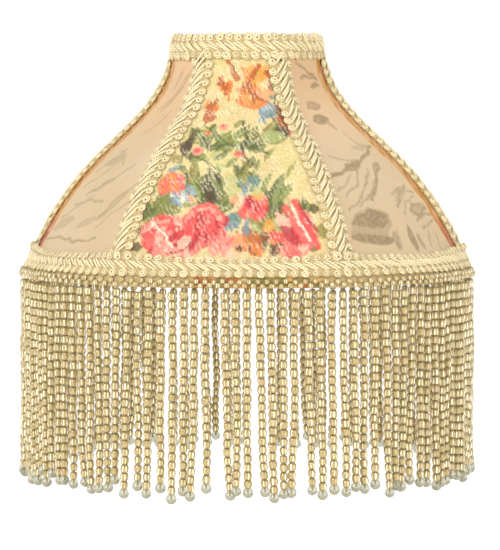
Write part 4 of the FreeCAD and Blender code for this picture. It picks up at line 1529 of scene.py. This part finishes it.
def headingBeads(setup, chance):
    # rows of small beads sewn to the face of the tape, so they stay with the shade
    count = setup["count"]
    places = [(2 * math.pi * (index + 0.5 * row) / count, level) for row, level in enumerate(setup["heights"])
              for index in range(count)]
    points, groups, sides = beadParts
    allPoints, allFaces, allSides, tones = [], [], [], []
    for index, (turn, height) in enumerate(places):
        spin = chance.uniform(0, fullTurn)
        height = height + chance.uniform(-setup["stray"], setup["stray"])
        centre = aroundPoint(np.array(height), clothLayers["tapeOutside"] + setup["proud"], np.array(turn))
        c, s = math.cos(spin), math.sin(spin)
        size = chance.uniform(*setup["size"])
        turned = points @ np.array([(c, s, 0), (-s, c, 0), (0, 0, 1)])
        allPoints.append(turned * size + centre)
        allFaces += [face + index * len(points) for face in groups]
        allSides.append(sides)
        tones.append(np.full(len(points), chance.uniform(0, 1)))
    mesh = makeMesh("heading_beads", np.concatenate(allPoints), allFaces)
    storeVector(mesh, "beadSide", np.concatenate(allSides))
    storeValue(mesh, "beadTone", np.concatenate(tones))
    piece = makePiece("heading_beads", mesh, linedBead)
    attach(piece, "shade")


strandChance = np.random.RandomState(fringe["seed"])
strandSways = settleSway(strandChance)
for groupIndex in range(fringe["groups"]):
    fringeGroup(groupIndex, strandChance, strandSways)
headingBeads(heading, strandChance)
print("fringe strung")


# finishes for the frame, which stays as the design has it

wireNodes = ["top_ring", "bottom_ring"] + [f"spider_arm_{k + 1}" for k in range(3)]
wireNodes += [f"rib_{k + 1}" for k in range(bell["ribs"])]
for nodeName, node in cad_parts.items():
    if nodeName == "fitter_washer":
        finish = brushedBrass
    elif nodeName in wireNodes:
        finish = paintedWire
    else:
        continue
    node.data.materials.clear()
    node.data.materials.append(finish)


# the stage: a pale floor that bends up into a wall

stageSetup = {"floor": -0.262, "depth": 3.2, "width": 6.0, "bend": 0.9, "wall": 3.4, "bendSteps": 24}
stageFinish = {"Base Color": (0.93, 0.93, 0.93, 1), "Roughness": 0.9, "Emission Color": (1, 1, 1, 1),
               "Emission Strength": 0.36}


def makeStage(setup):
    material, tree, shader = newMaterial("paleStage")
    finishShader(tree, shader, stageFinish)
    steps = np.linspace(0, math.pi / 2, setup["bendSteps"])
    bend = setup["bend"]
    back = setup["depth"] - bend
    profile = [(-setup["depth"], 0.0), (back, 0.0)]
    profile += [(back + bend * math.sin(a), bend * (1 - math.cos(a))) for a in steps[1:]]
    profile.append((back + bend, setup["wall"]))
    half = setup["width"] / 2
    points = np.array([(x, y, setup["floor"] + z) for y, z in profile for x in (-half, half)])
    mesh = makeMesh("stage", points, gridFaces(len(profile), 2)[:, ::-1], scale=1.0)
    floor = makePiece("stage", mesh, material)


makeStage(stageSetup)
